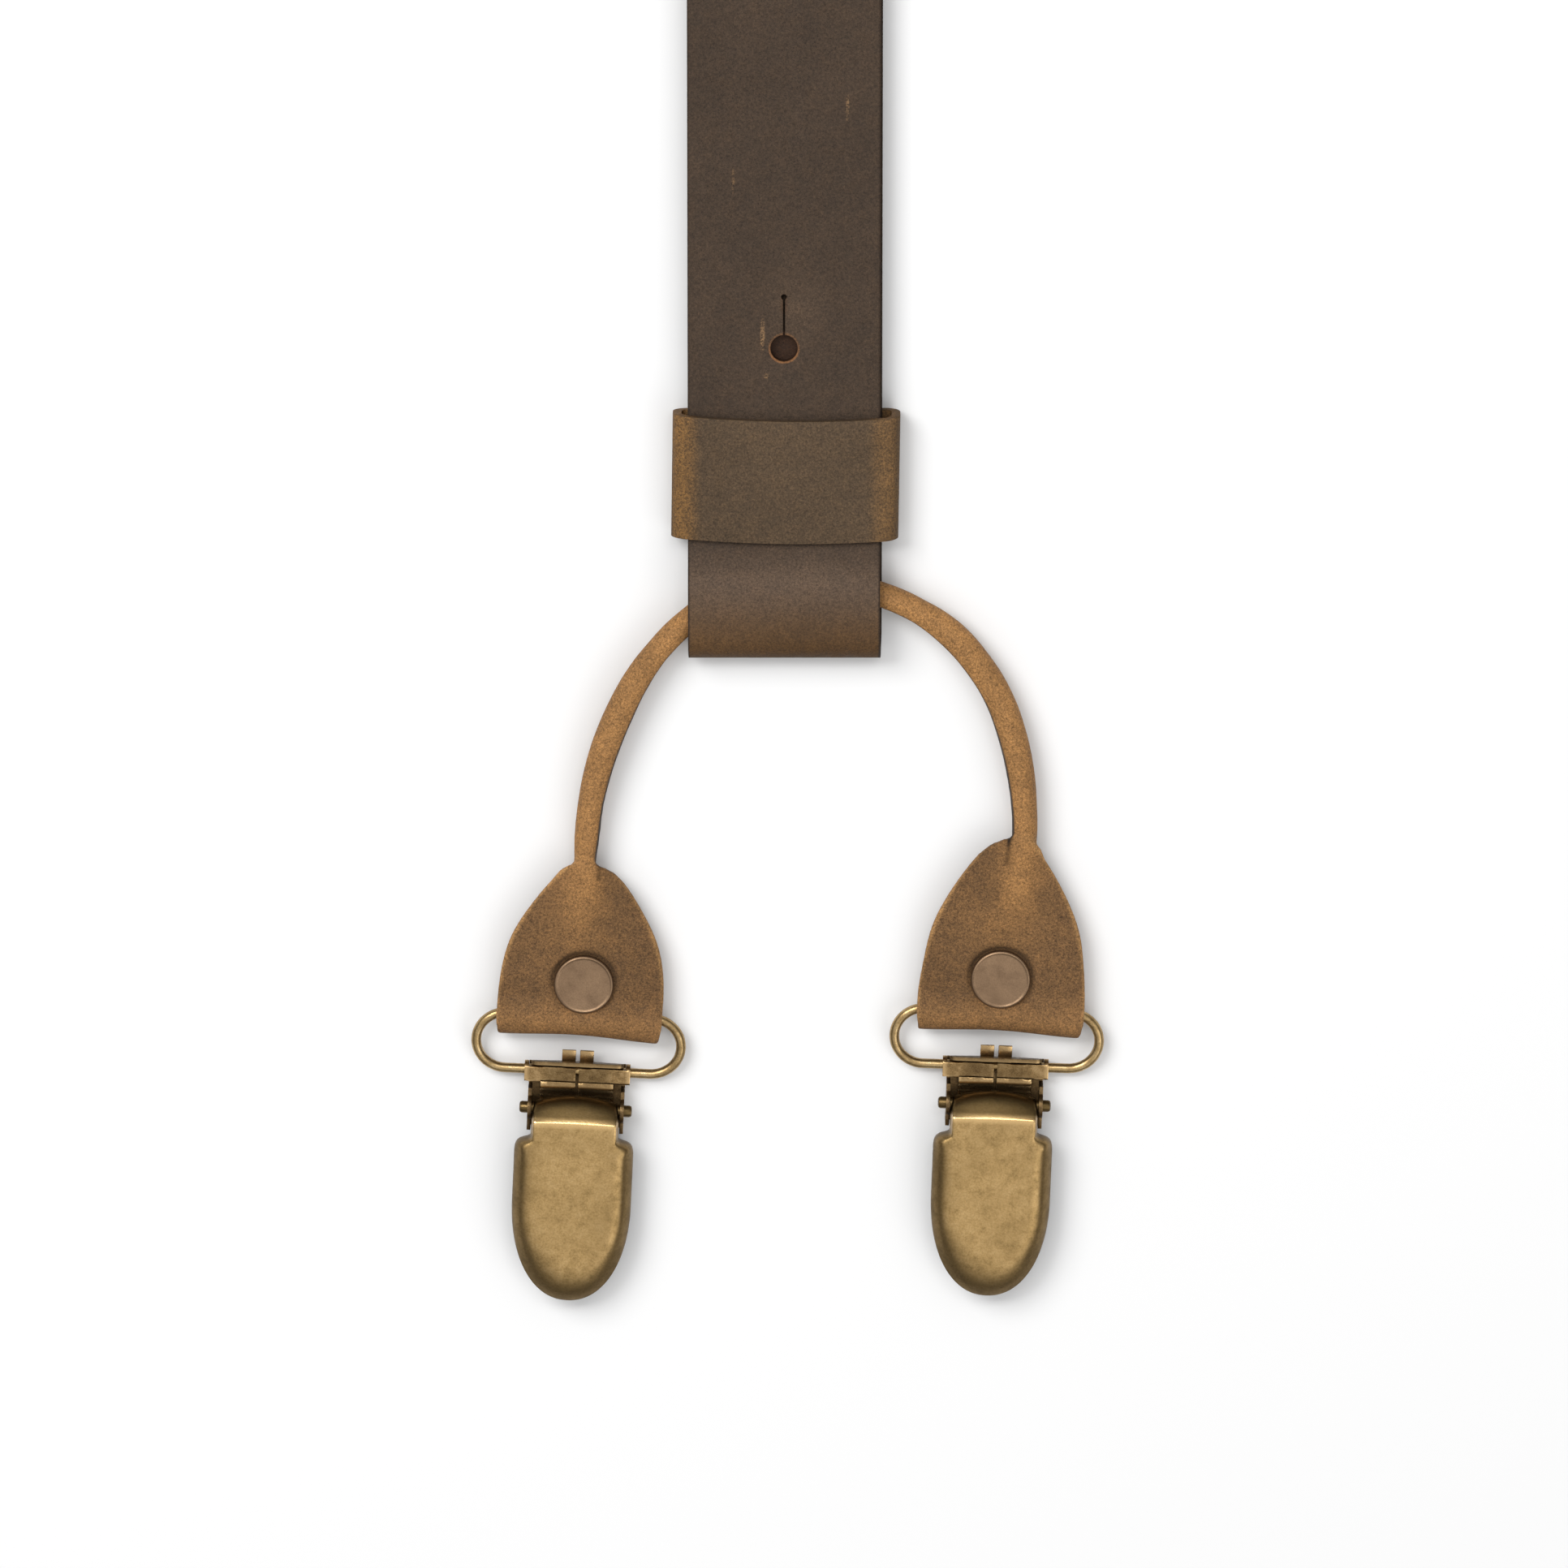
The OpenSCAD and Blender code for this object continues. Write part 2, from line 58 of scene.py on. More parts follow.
# %% [markdown]
# ## Where things are
# The back end of the suspenders is what the camera looks at, so every piece
# is modelled once, in millimetres, in the frame of one strap end: the origin
# at the bottom of the fold, +Y up the strap and +Z out of the floor. A matrix
# then carries a copy to each end. The joints in the record give the matrices,
# because a keeper slides along its strap and a yoke turns about a known point.

# %% Frames of the three ends and the six clips
SWING_POINT = Vector((3.5, -27, 4.7))  # the yoke's joint, in the end's frame


def frame_from(x_axis, at, local=Vector((0, 0, 0))):
    """Matrix from millimetres in a local frame to metres in the row's frame."""
    x = Vector(x_axis).normalized()
    y = Vector((0, 0, 1)).cross(x)
    turn = Matrix((x, y, (0, 0, 1))).transposed().to_4x4()
    return Matrix.Translation(at) @ turn @ Matrix.Scale(MM, 4) @ Matrix.Translation(-local)


END = {}
CLIP = {}
for e in ENDS:
    up = Vector(JOINTS[f"{e}_keeper_slide"]["axis"])
    END[e] = frame_from(up.cross((0, 0, 1)), JOINTS[f"{e}_yoke_swing"]["pos_m"], SWING_POINT)
    for c in (1, 2):
        bar = JOINTS[f"{e}_clip{c}_swing"]
        CLIP[e, c] = frame_from(-Vector(bar["axis"]), bar["pos_m"])
TO_END = END["back"].inverted()
print("end origins:", [tuple(round(v, 4) for v in END[e].translation) for e in ENDS])

# %% [markdown]
# ## Camera
# The camera looks almost straight down on the back end, leaning 14.5 degrees
# towards the top of the strap, through a long lens. Its own X axis stays along
# the row's X, so one turn about X is the whole rotation.

# %% Camera
LEAN = math.radians(14.5)
DISTANCE = 2.2
FRAMED = 0.288  # width of floor that fills the frame
look_at = END["back"] @ Vector((0, -25.2, 0))
cam_data = bpy.data.cameras.new("camera")
cam_data.sensor_width = 36
cam_data.lens = 36 * DISTANCE / FRAMED
cam_data.clip_end = 20
cam = bpy.data.objects.new("camera", cam_data)
bpy.context.collection.objects.link(cam)
cam.location = look_at + DISTANCE * Vector((0, math.sin(LEAN), math.cos(LEAN)))
cam.rotation_euler = (-LEAN, 0, 0)
bpy.context.scene.camera = cam
print("lens", round(cam_data.lens), "mm")

# %% [markdown]
# ## Floor and light
# A white sweep and a bright, even sky give the plain background. One large
# soft light from the upper left draws the soft shadows to the lower right,
# and a small one lays the highlight along the bends of the metal.

# %% Floor
def deselect_all():
    if bpy.context.object and bpy.context.object.mode != "OBJECT":
        bpy.ops.object.mode_set(mode="OBJECT")
    bpy.ops.object.select_all(action="DESELECT")


def new_material(name):
    mat = bpy.data.materials.new(name)
    mat.use_nodes = True
    return mat, mat.node_tree, mat.node_tree.nodes["Principled BSDF"]


deselect_all()
bpy.ops.mesh.primitive_plane_add(size=8, location=(0, 0, -0.0002))
floor = bpy.context.object
floor.name = "floor"
floor_mat, _, shader = new_material("white_floor")
shader.inputs["Base Color"].default_value = (0.82, 0.82, 0.82, 1)
shader.inputs["Roughness"].default_value = 0.9
floor.data.materials.append(floor_mat)

# %% Lights
def area_light(name, where, size, power, target):
    data = bpy.data.lights.new(name, "AREA")
    data.shape = "DISK"
    data.size = size
    data.energy = power
    light = bpy.data.objects.new(name, data)
    bpy.context.collection.objects.link(light)
    light.location = where
    light.rotation_euler = (Vector(target) - Vector(where)).to_track_quat("-Z", "Y").to_euler()
    return light


area_light("key", look_at + Vector((-0.75, 0.85, 1.3)), 0.9, 15, look_at)
area_light("fill", look_at + Vector((1.2, -0.9, 1.6)), 1.6, 8.5, look_at)
strip_light = area_light("strip", look_at + Vector((-0.1, 0.72, 1.5)), 1.2, 6, look_at)
strip_light.data.shape = "RECTANGLE"
strip_light.data.size_y = 0.28
world = bpy.data.worlds.new("sky")
bpy.context.scene.world = world
world.use_nodes = True
sky_nodes, sky_links = world.node_tree.nodes, world.node_tree.links
direction = sky_nodes.new("ShaderNodeTexCoord").outputs["Generated"]
split = sky_nodes.new("ShaderNodeSeparateXYZ")
sky_links.new(direction, split.inputs["Vector"])
sky = sky_nodes.new("ShaderNodeValToRGB")
SKY_STOPS = [(0.0, 0.62), (0.02, 0.1), (0.4, 0.2), (0.72, 0.75), (1.0, 1.15)]
while len(sky.color_ramp.elements) < len(SKY_STOPS):
    sky.color_ramp.elements.new(0.5)
for stop, (height, bright) in zip(sky.color_ramp.elements, SKY_STOPS):
    stop.position = height
    stop.color = (bright, bright, bright, 1)
sky_links.new(split.outputs["Z"], sky.inputs["Fac"])
sky_links.new(sky.outputs["Color"], sky_nodes["Background"].inputs["Color"])
sky_nodes["Background"].inputs["Strength"].default_value = 0.9
bpy.context.scene.view_settings.view_transform = "Standard"
print("lights ready")

# %% [markdown]
# ## Leather
# Waxed pull-up leather is dark where it lies flat and pales where it is bent,
# because the wax moves away. Its face has fine pale specks in a darker ground,
# with slow clouds of colour. The material mixes a dark and a light tone by a
# fine noise and a slow noise, then by the piece's own attribute that says where
# the leather is bent (on brass the same attribute lays painted highlights and
# rubbed edges), and it darkens cut edges by `rim`. A third attribute darkens
# the yoke's glued seam and lays painted shade in the ring round each rivet cap.

# %% Leather material
def noise(tree, coords, scale, detail=3.0, rough=0.5):
    tex = tree.nodes.new("ShaderNodeTexNoise")
    tex.inputs["Scale"].default_value = scale
    tex.inputs["Detail"].default_value = detail
    tex.inputs["Roughness"].default_value = rough
    tree.links.new(coords, tex.inputs["Vector"])
    return tex.outputs["Fac"]


def ramp(tree, value, stops):
    node = tree.nodes.new("ShaderNodeValToRGB")
    ramp_data = node.color_ramp
    while len(ramp_data.elements) < len(stops):
        ramp_data.elements.new(0.5)
    for element, (at, colour) in zip(ramp_data.elements, stops):
        element.position = at
        element.color = colour if len(colour) == 4 else (*colour, 1)
    tree.links.new(value, node.inputs["Fac"])
    return node.outputs["Color"]


def mix(tree, factor, a, b, mode="MIX"):
    node = tree.nodes.new("ShaderNodeMix")
    node.data_type = "RGBA"
    node.blend_type = mode
    for socket, value in ((node.inputs[0], factor), (node.inputs[6], a), (node.inputs[7], b)):
        if isinstance(value, bpy.types.NodeSocket):
            tree.links.new(value, socket)
        elif isinstance(value, (int, float)):
            socket.default_value = value
        else:
            socket.default_value = (*value, 1)
    return node.outputs[2]


def attribute(tree, name):
    node = tree.nodes.new("ShaderNodeAttribute")
    node.attribute_name = name
    return node.outputs["Fac"]


def bump(tree, shader, heights):
    """Bump from pairs of (height, distance in metres), finest last."""
    normal = None
    for height, distance in heights:
        node = tree.nodes.new("ShaderNodeBump")
        node.inputs["Distance"].default_value = distance
        tree.links.new(height, node.inputs["Height"])
        if normal:
            tree.links.new(normal, node.inputs["Normal"])
        normal = node.outputs["Normal"]
    tree.links.new(normal, shader.inputs["Normal"])


def between(tree, value, start, stop):
    """0 at start and 1 at stop, smoothly."""
    node = tree.nodes.new("ShaderNodeMapRange")
    node.interpolation_type = "SMOOTHSTEP"
    node.inputs["From Min"].default_value = start
    node.inputs["From Max"].default_value = stop
    tree.links.new(value, node.inputs["Value"])
    return node.outputs["Result"]


def both(tree, a, b, operation="MULTIPLY"):
    node = tree.nodes.new("ShaderNodeMath")
    node.operation = operation
    for socket, value in zip(node.inputs, (a, b)):
        if isinstance(value, (int, float)):
            socket.default_value = value
        else:
            tree.links.new(value, socket)
    return node.outputs["Value"]


def near(tree, place, at, stretch=(1, 1, 0)):
    """Distance in millimetres from a spot of the piece, stretched along its axes."""
    node = tree.nodes.new("ShaderNodeVectorMath")
    node.operation = "MULTIPLY_ADD"
    tree.links.new(place, node.inputs[0])
    node.inputs[1].default_value = stretch
    node.inputs[2].default_value = [-a * k for a, k in zip(at, stretch)]
    size = tree.nodes.new("ShaderNodeVectorMath")
    size.operation = "LENGTH"
    tree.links.new(node.outputs[0], size.inputs[0])
    return size.outputs["Value"]


def leather(name, body, glow, raw, grain=1.0, clouds=1.0, marks=None, rough=0.66):
    """Pull-up leather: its body colour, the paler one where it bends, and the bare one."""
    mat, tree, shader = new_material(name)
    coords = tree.nodes.new("ShaderNodeTexCoord").outputs["Object"]
    speck = noise(tree, coords, 2400, 5, 0.75)
    fine = noise(tree, coords, 5200, 2, 0.5)
    blotch = noise(tree, coords, 380, 4, 0.62)
    cloud = noise(tree, coords, 62, 3, 0.5)
    tone = mix(tree, attribute(tree, "pull_and_highlight"), body, glow)
    tone = mix(tree, attribute(tree, "rim"), tone, raw)
    if marks:
        place = tree.nodes.new("ShaderNodeAttribute")
        place.attribute_name = "place"
        for factor, colour in marks(tree, place.outputs["Vector"], speck):
            tone = mix(tree, factor, tone, colour)
    for value, low, high, warm in ((speck, 0.3, 0.7, 0.66 * grain), (fine, 0.3, 0.7, 0.3 * grain),
                                   (blotch, 0.3, 0.7, 0.3 * clouds), (cloud, 0.34, 0.66, 0.22 * clouds)):
        cool_end = (1 - warm, 1 - 1.02 * warm, 1 - 1.05 * warm)
        warm_end = (1 + warm, 1 + 0.93 * warm, 1 + 0.82 * warm)
        shade = ramp(tree, value, [(low, cool_end), (0.5, (1, 1, 1)), (high, warm_end)])
        tone = mix(tree, 1.0, tone, shade, "MULTIPLY")
    # Darkens the yoke's glued seam, and lays painted shade in the ring round each rivet cap.
    tone = mix(tree, attribute(tree, "seam_and_shade"), tone, tuple(0.16 * v for v in body))
    tree.links.new(tone, shader.inputs["Base Color"])
    gloss = ramp(tree, blotch, [(0.3, (rough - 0.06,) * 3), (0.7, (rough + 0.1,) * 3)])
    tree.links.new(gloss, shader.inputs["Roughness"])
    shader.inputs["Specular IOR Level"].default_value = 0.22
    bump(tree, shader, [(blotch, 0.0002), (speck, 0.00012), (fine, 0.00004)])
    return mat


def srgb(r, g, b):
    """A colour given as 0 to 255 on a screen, as the linear values nodes use."""
    return tuple(((v / 255 + 0.055) / 1.055) ** 2.4 if v > 10 else v / 255 / 12.92 for v in (r, g, b))


# %% [markdown]
# ## Marks of wear, painted shade and painted light
# The strap is paler over its fold, has a bare orange edge under the stud hole
# and a rubbed patch and two scratches beside it, with two more further up. The
# bottom of the stud hole is painted dark, as painted shade. The keeper is bare
# along its rounded ends, and its left end is painted paler than its right, as
# painted light. These marks are placed by `place`, the millimetres of a point
# in its strap end's own frame, which every leather piece carries.

# %% Strap and keeper leather
HOLE_D, HOLE_AT = 5.0, 58.0
# Scratches: place, stretch across and along, and strength
SCRATCHES = [((-3.9, HOLE_AT + 2.5, 0), (3.2, 0.45, 0), 0.75), ((-3.2, HOLE_AT - 5.2, 0), (3, 2.4, 0), 0.6),
             ((-9.2, HOLE_AT + 31, 0), (5, 0.6, 0), 0.5), ((11.5, HOLE_AT + 44, 0), (4, 0.5, 0), 0.5)]


def strap_marks(tree, place, speck):
    split = tree.nodes.new("ShaderNodeSeparateXYZ")
    tree.links.new(place, split.inputs["Vector"])
    x, y, z = split.outputs["X"], split.outputs["Y"], split.outputs["Z"]
    across = both(tree, x, 0, "ABSOLUTE")
    grit = between(tree, speck, 0.4, 0.6)
    front = between(tree, z, 5.2, 5.8)
    hole = near(tree, place, (0, HOLE_AT, 0))
    low_side = between(tree, y, HOLE_AT + 1.5, HOLE_AT - 2)
    ring = both(tree, both(tree, between(tree, hole, 2.95, 2.7), front),
                both(tree, both(tree, low_side, 0.5), 0.35, "ADD"))
    # Painted shade: the bottom of the stud hole and the tail seen through it are painted dark.
    inside = both(tree, between(tree, hole, 2.9, 2.5), between(tree, z, 5.7, 5.2))
    slit = near(tree, place, (0, HOLE_AT + 8, 0), (1, 0.35, 0))
    patch = near(tree, place, (2.0, HOLE_AT + 9, 0), (1, 0.7, 0))
    out = [
        (both(tree, between(tree, y, 24, 14), 0.85), srgb(92, 75, 61)),
        (both(tree, between(tree, y, 15, 3), 0.85), srgb(81, 57, 30)),
        (both(tree, between(tree, patch, 8, 1), 0.35), srgb(92, 74, 58)),
        (both(tree, both(tree, between(tree, slit, 0.9, 0.3), front), 0.5), srgb(70, 46, 30)),
        (inside, srgb(52, 34, 22)),
        (ring, srgb(126, 86, 52)),
        (between(tree, across, 17.0, 17.4), srgb(50, 38, 28)),
    ]
    for at, stretch, strength in SCRATCHES:
        scratch = between(tree, near(tree, place, at, stretch), 1.9, 0.5)
        out.append((both(tree, both(tree, scratch, grit), strength), srgb(136, 106, 74)))
    return out


def keeper_marks(tree, place, speck):
    split = tree.nodes.new("ShaderNodeSeparateXYZ")
    tree.links.new(place, split.inputs["Vector"])
    across = both(tree, split.outputs["X"], 0, "ABSOLUTE")
    grit = both(tree, both(tree, between(tree, speck, 0.36, 0.6), 0.5), 0.5, "ADD")
    # Painted light: the pale end mark is stronger on the left end, where the light falls, than on the right.
    left = both(tree, between(tree, split.outputs["X"], 10, -10), 0.4)
    bare_and_lit = both(tree, between(tree, across, 14.6, 18.4), grit)
    bare_and_lit = both(tree, bare_and_lit, both(tree, left, 0.58, "ADD"))
    return [(bare_and_lit, srgb(120, 88, 50)),
            (between(tree, across, 19.9, 20.6), srgb(90, 68, 42))]


DARK_BROWN, EDGE_BROWN = srgb(65, 52, 41), srgb(132, 90, 52)
strap_leather = leather("strap_leather", DARK_BROWN, srgb(95, 75, 58), EDGE_BROWN, 0.8, 0.4, strap_marks)
keeper_leather = leather("keeper_leather", srgb(82, 66, 49), srgb(112, 86, 54), EDGE_BROWN, 0.85, 0.45,
                         keeper_marks)
patch_leather = leather("patch_leather", srgb(82, 66, 49), srgb(112, 86, 54), EDGE_BROWN, 0.85, 0.5)
yoke_leather = leather("yoke_leather", srgb(106, 78, 49), srgb(154, 113, 68), srgb(158, 120, 76), 1.0, 0.55)
print("leathers made")

# %% [markdown]
# ## Antique brass
# The clips are plated, darkened and rubbed back: the flats are pale and
# mottled, and the dark stays in the corners. The dark along the shield's rolled
# edges and over its curl is painted shade, and the bright line on its bend and
# on the plate's flange is a painted highlight.

# %% Brass material
def antique_metal(name, dark, mid, pale, rough=0.36, patches=420, grain=4200, worn=0.35):
    mat, tree, shader = new_material(name)
    coords = tree.nodes.new("ShaderNodeTexCoord").outputs["Object"]
    mottle = noise(tree, coords, patches, 5, 0.62)
    fine = noise(tree, coords, grain, 3, 0.65)
    cloud = noise(tree, coords, 130, 2, 0.5)
    tone = ramp(tree, mottle, [(0.3, dark), (0.5, mid), (0.7, pale)])
    tone = mix(tree, 0.4, tone, ramp(tree, fine, [(0.34, dark), (0.52, mid), (0.68, pale)]))
    wear = ramp(tree, cloud, [(0.4, (0, 0, 0)), (0.75, (worn, worn, worn))])
    tone = mix(tree, wear, tone, dark)
    # The rim attribute darkens and the next one lightens. On the shield they are painted shade on the rolled
    # edges and curl and a painted highlight on the bend; on the plate the lightening is a painted highlight; on
    # the sleeve it is rubbed edges plus painted light on the stem.
    tone = mix(tree, attribute(tree, "rim"), tone, tuple(v * 0.3 for v in dark))
    tone = mix(tree, attribute(tree, "pull_and_highlight"), tone, tuple(min(1, v * 1.35) for v in pale))
    tree.links.new(tone, shader.inputs["Base Color"])
    gloss = ramp(tree, mottle, [(0.3, (rough + 0.12,) * 3), (0.7, (rough - 0.03,) * 3)])
    gloss = mix(tree, attribute(tree, "pull_and_highlight"), gloss, (0.16, 0.16, 0.16))
    tree.links.new(gloss, shader.inputs["Roughness"])
    shader.inputs["Metallic"].default_value = 1.0
    bump(tree, shader, [(mottle, 0.00003), (fine, 0.000015)])
    return mat


shield_brass = antique_metal("shield_brass", srgb(132, 108, 68), srgb(176, 145, 96),
                             srgb(196, 164, 114), 0.34, 480, 2600)
clip_brass = antique_metal("clip_brass", srgb(88, 68, 44), srgb(142, 115, 76), srgb(186, 156, 112), 0.32, 700)
plate_brass = antique_metal("plate_brass", srgb(70, 54, 36), srgb(114, 92, 62), srgb(156, 130, 92), 0.36, 700)
wire_brass = antique_metal("wire_brass", srgb(118, 94, 60), srgb(176, 148, 102), srgb(206, 180, 136), 0.28, 500)
rivet_copper = antique_metal("rivet_copper", srgb(112, 90, 70), srgb(136, 111, 87), srgb(150, 123, 96), 0.42, 350)
stud_brass = antique_metal("stud_brass", srgb(100, 80, 50), srgb(160, 130, 84), srgb(190, 160, 112), 0.3)

# %% Grip material
grip, tree, shader = new_material("grip_plastic")
coords = tree.nodes.new("ShaderNodeTexCoord").outputs["Object"]
grip_noise = noise(tree, coords, 900, 3)
grip_tone = ramp(tree, grip_noise, [(0.3, (0.012, 0.011, 0.01)), (0.7, (0.03, 0.028, 0.025))])
tree.links.new(grip_tone, shader.inputs["Base Color"])
shader.inputs["Roughness"].default_value = 0.6
bump(tree, shader, [(grip_noise, 0.00005)])

# %% [markdown]
# ## The pieces that keep their CAD shape
# The wire loops, studs, screws and rivet posts are exact already, so they only
# take a finish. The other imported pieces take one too, until a piece modelled
# below stands in for them.

# %% Finish the CAD nodes
FINISH = {"loop": wire_brass, "back_plate": clip_brass, "retainer": clip_brass, "pad": grip,
          "stud": stud_brass, "stud_screw": stud_brass, "rivet_posts": rivet_copper,
          "rivet_caps": rivet_copper, "shield": shield_brass, "strap": strap_leather,
          "keeper": keeper_leather, "yoke": yoke_leather, "junction_patch": patch_leather,
          "junction_lining": strap_leather}


def cad_node(name):
    found = frame["nodes"][name]
    return bpy.data.objects[found] if isinstance(found, str) else found


for name in frame["nodes"]:
    endings = sorted(FINISH, key=len, reverse=True)
    finish = FINISH[next(ending for ending in endings if name.endswith(ending))]
    node_data = cad_node(name).data
    node_data.materials.clear()
    node_data.materials.append(finish)
    for polygon in node_data.polygons:
        polygon.material_index = 0
print(len(frame["nodes"]), "CAD nodes finished")

# %% [markdown]
# ## Shaping tools
# Leather pieces start as one edge that is extruded along the piece's side
# view, the way a strip is bent round a form. Solidify then gives the strip its
# thickness and Bevel rubs down its edges. Each finished piece is copied to its
# ends with its own mesh, moved by the matrix of that end, so that its object
# stays at the origin.

# %% Paths
def ease(t):
    return t * t * (3 - 2 * t)


def fade_in(t):
    """0 before 0, 1 after 1 and eased between them."""
    return ease(min(1, max(0, t)))


def ramp_path(a, b, steps=10):
    return [(a[0] + (b[0] - a[0]) * i / steps, a[1] + (b[1] - a[1]) * ease(i / steps))
            for i in range(steps + 1)]


def arc_path(centre, radius, start, stop, steps=20):
    angles = [math.radians(start + (stop - start) * i / steps) for i in range(steps + 1)]
    return [(centre[0] + radius * math.cos(a), centre[1] + radius * math.sin(a)) for a in angles]


# %% Extruding a strip
def apply_modifier(ob, kind, **settings):
    mod = ob.modifiers.new(kind.lower(), kind)
    for key, value in settings.items():
        setattr(mod, key, value)
    bpy.context.view_layer.objects.active = ob
    bpy.ops.object.modifier_apply(modifier=mod.name)


def bevel(ob, width, segments, angle):
    """Round the edges whose faces meet at more than angle degrees."""
    apply_modifier(ob, "BEVEL", width=width, segments=segments, limit_method="ANGLE",
                   angle_limit=math.radians(angle))


def pick(ob):
    """Make ob the only selected object and the active one."""
    deselect_all()
    ob.select_set(True)
    bpy.context.view_layer.objects.active = ob


def edit(ob):
    pick(ob)
    bpy.ops.object.mode_set(mode="EDIT")
    bpy.ops.mesh.select_mode(type="VERT")


def object_mode():
    bpy.ops.object.mode_set(mode="OBJECT")


def select_whole():
    bpy.ops.mesh.select_all(action="SELECT")


def face_outwards():
    """Turn all faces of the edited piece outwards and leave edit mode."""
    select_whole()
    bpy.ops.mesh.normals_make_consistent(inside=False)
    object_mode()


def first_row(name, points):
    """A row of joined vertices at the given points, from left to right."""
    deselect_all()
    bpy.ops.mesh.primitive_grid_add(x_subdivisions=len(points) - 1, y_subdivisions=1, size=2)
    ob = bpy.context.object
    ob.name = name
    edit(ob)
    bpy.ops.mesh.select_all(action="DESELECT")
    object_mode()
    for v in ob.data.vertices:
        v.select = v.co.y > 0
    edit(ob)
    bpy.ops.mesh.delete(type="VERT")
    object_mode()
    for v, point in zip(sorted(ob.data.vertices, key=lambda v: v.co.x), points):
        v.co = point
    edit(ob)
    return ob


def strip(name, path, columns, half, shift=lambda i, y: 0.0):
    """Extrude a row of vertices along path, each (y, z) in millimetres."""
    start = path[0][0]
    ob = first_row(name, [(column * half(0, start) + shift(0, start), *path[0]) for column in columns])
    select_whole()
    for i in range(1, len(path)):
        y, z = path[i]
        step = (shift(i, y) - shift(i - 1, path[i - 1][0]), y - path[i - 1][0], z - path[i - 1][1])
        bpy.ops.mesh.extrude_region_move(TRANSFORM_OT_translate={"value": step})
        ratio = half(i, y) / half(i - 1, path[i - 1][0])
        if abs(ratio - 1) > 1e-6:
            bpy.ops.transform.resize(value=(ratio, 1, 1), center_override=(shift(i, y), y, z))
    face_outwards()
    return ob


# %% Finishing and copying a piece
def smooth(ob, angle=35):
    pick(ob)
    bpy.ops.object.shade_smooth_by_angle(angle=math.radians(angle))


def join_all(parts, name):
    deselect_all()
    for part in parts:
        part.select_set(True)
    bpy.context.view_layer.objects.active = parts[0]
    if len(parts) > 1:
        bpy.ops.object.join()
    parts[0].name = name
    return parts[0]


def keep_place(ob):
    """Store each vertex's millimetres in the piece's own frame as `place`."""
    data = ob.data.attributes.new("place", "FLOAT_VECTOR", "POINT")
    flat = [0.0] * (3 * len(ob.data.vertices))
    ob.data.vertices.foreach_get("co", flat)
    data.data.foreach_set("vector", flat)


def clip_copies(piece, part, slot, node):
    """What hand_out needs to put one piece on every clip."""
    return [(f"{piece}_{e}_{c}", CLIP[e, c], f"{e}_clip{c}_{part}", slot, [f"{e}_clip{c}_{node}"])
            for e in ENDS for c in (1, 2)]


def hand_out(master, copies, material):
    """Copy the master: copies is a list of (name, matrix, body, slot, replaced nodes)."""
    master.name = "master"
    master.data.materials.clear()
    master.data.materials.append(material)
    made = []
    for name, matrix, body, slot, nodes_out in copies:
        piece = bpy.data.objects.new(name, master.data.copy())
        bpy.context.collection.objects.link(piece)
        piece.data.transform(matrix)
        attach(piece, body)
        if nodes_out:
            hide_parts(*nodes_out)
        made.append(piece)
    bpy.data.objects.remove(master)
    print(made[0].name, "and copies:", len(made), "with", len(made[0].data.polygons), "faces each")
    return made


# %% [markdown]
# ## Straps
# Each strap is one band: the tail, the fold round the yoke, the front layer
# and the run to the junction. The side view below is the same as the CAD
# model's. The tail lies a little to the right of the front layer, as a hand
# folded strap does. Stud holes are punched with a cutter and a boolean.

# %% Strap sizes
STRAP_W = (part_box("back_strap")[1][0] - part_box("back_strap")[0][0]) / MM
STRAP_T = 2.0
TAIL_MID, FRONT_MID = 2.8, 5.0  # heights of the two layers' middles
FOLD_C, FOLD_R = (4.65, 4.75), 3.65
TAIL_END = 148.0
HOLE_PITCH, SLIT = 76.0, 7.0
LAP = 24.0
print("strap width", round(STRAP_W, 2), "mm")


# %% One strap
def strap_path(e):
    length = END[e].translation.xy.length / MM
    path = ramp_path((TAIL_END, TAIL_MID), (60, TAIL_MID), 2)
    path += ramp_path((22.5, TAIL_MID), (13.5, 1.1)) + arc_path(FOLD_C, FOLD_R, 270, 90)
    path += ramp_path((13.5, 8.4), (22.5, FRONT_MID)) + [(30, FRONT_MID), (50, FRONT_MID), (70, FRONT_MID)]
    path += ramp_path((TAIL_END + 3, FRONT_MID), (TAIL_END + 28, 1.0))
    if e != "back":
        half_angle = math.atan2(abs(END[e].translation.x), END[e].translation.y)
        crotch = STRAP_W / 2 / math.sin(half_angle)
        path += [(length * 0.5, 1.0)] + ramp_path((length - crotch - 45, 1.0), (length - crotch - 15, 3.1))
    return path + [(length + LAP, path[-1][1])]


PUNCH = 2.2  # deep enough for one layer and not the one below


def stud_hole_cutter(y, z):
    """A punch: round hole, slit above it and a small round stop."""
    top = HOLE_D / 2 + SLIT
    deselect_all()
    bpy.ops.mesh.primitive_cylinder_add(vertices=40, radius=HOLE_D / 2, depth=PUNCH, location=(0, y, z))
    parts = [bpy.context.object]
    bpy.ops.mesh.primitive_cube_add(size=1, location=(0, y + top / 2, z), scale=(0.42, top, PUNCH))
    parts.append(bpy.context.object)
    bpy.ops.mesh.primitive_cylinder_add(vertices=16, radius=0.55, depth=PUNCH, location=(0, y + top, z))
    parts.append(bpy.context.object)
    return parts


def punch(ob, cutters):
    for cutter in cutters:
        apply_modifier(ob, "BOOLEAN", object=cutter, operation="DIFFERENCE", solver="EXACT")
        bpy.data.objects.remove(cutter)


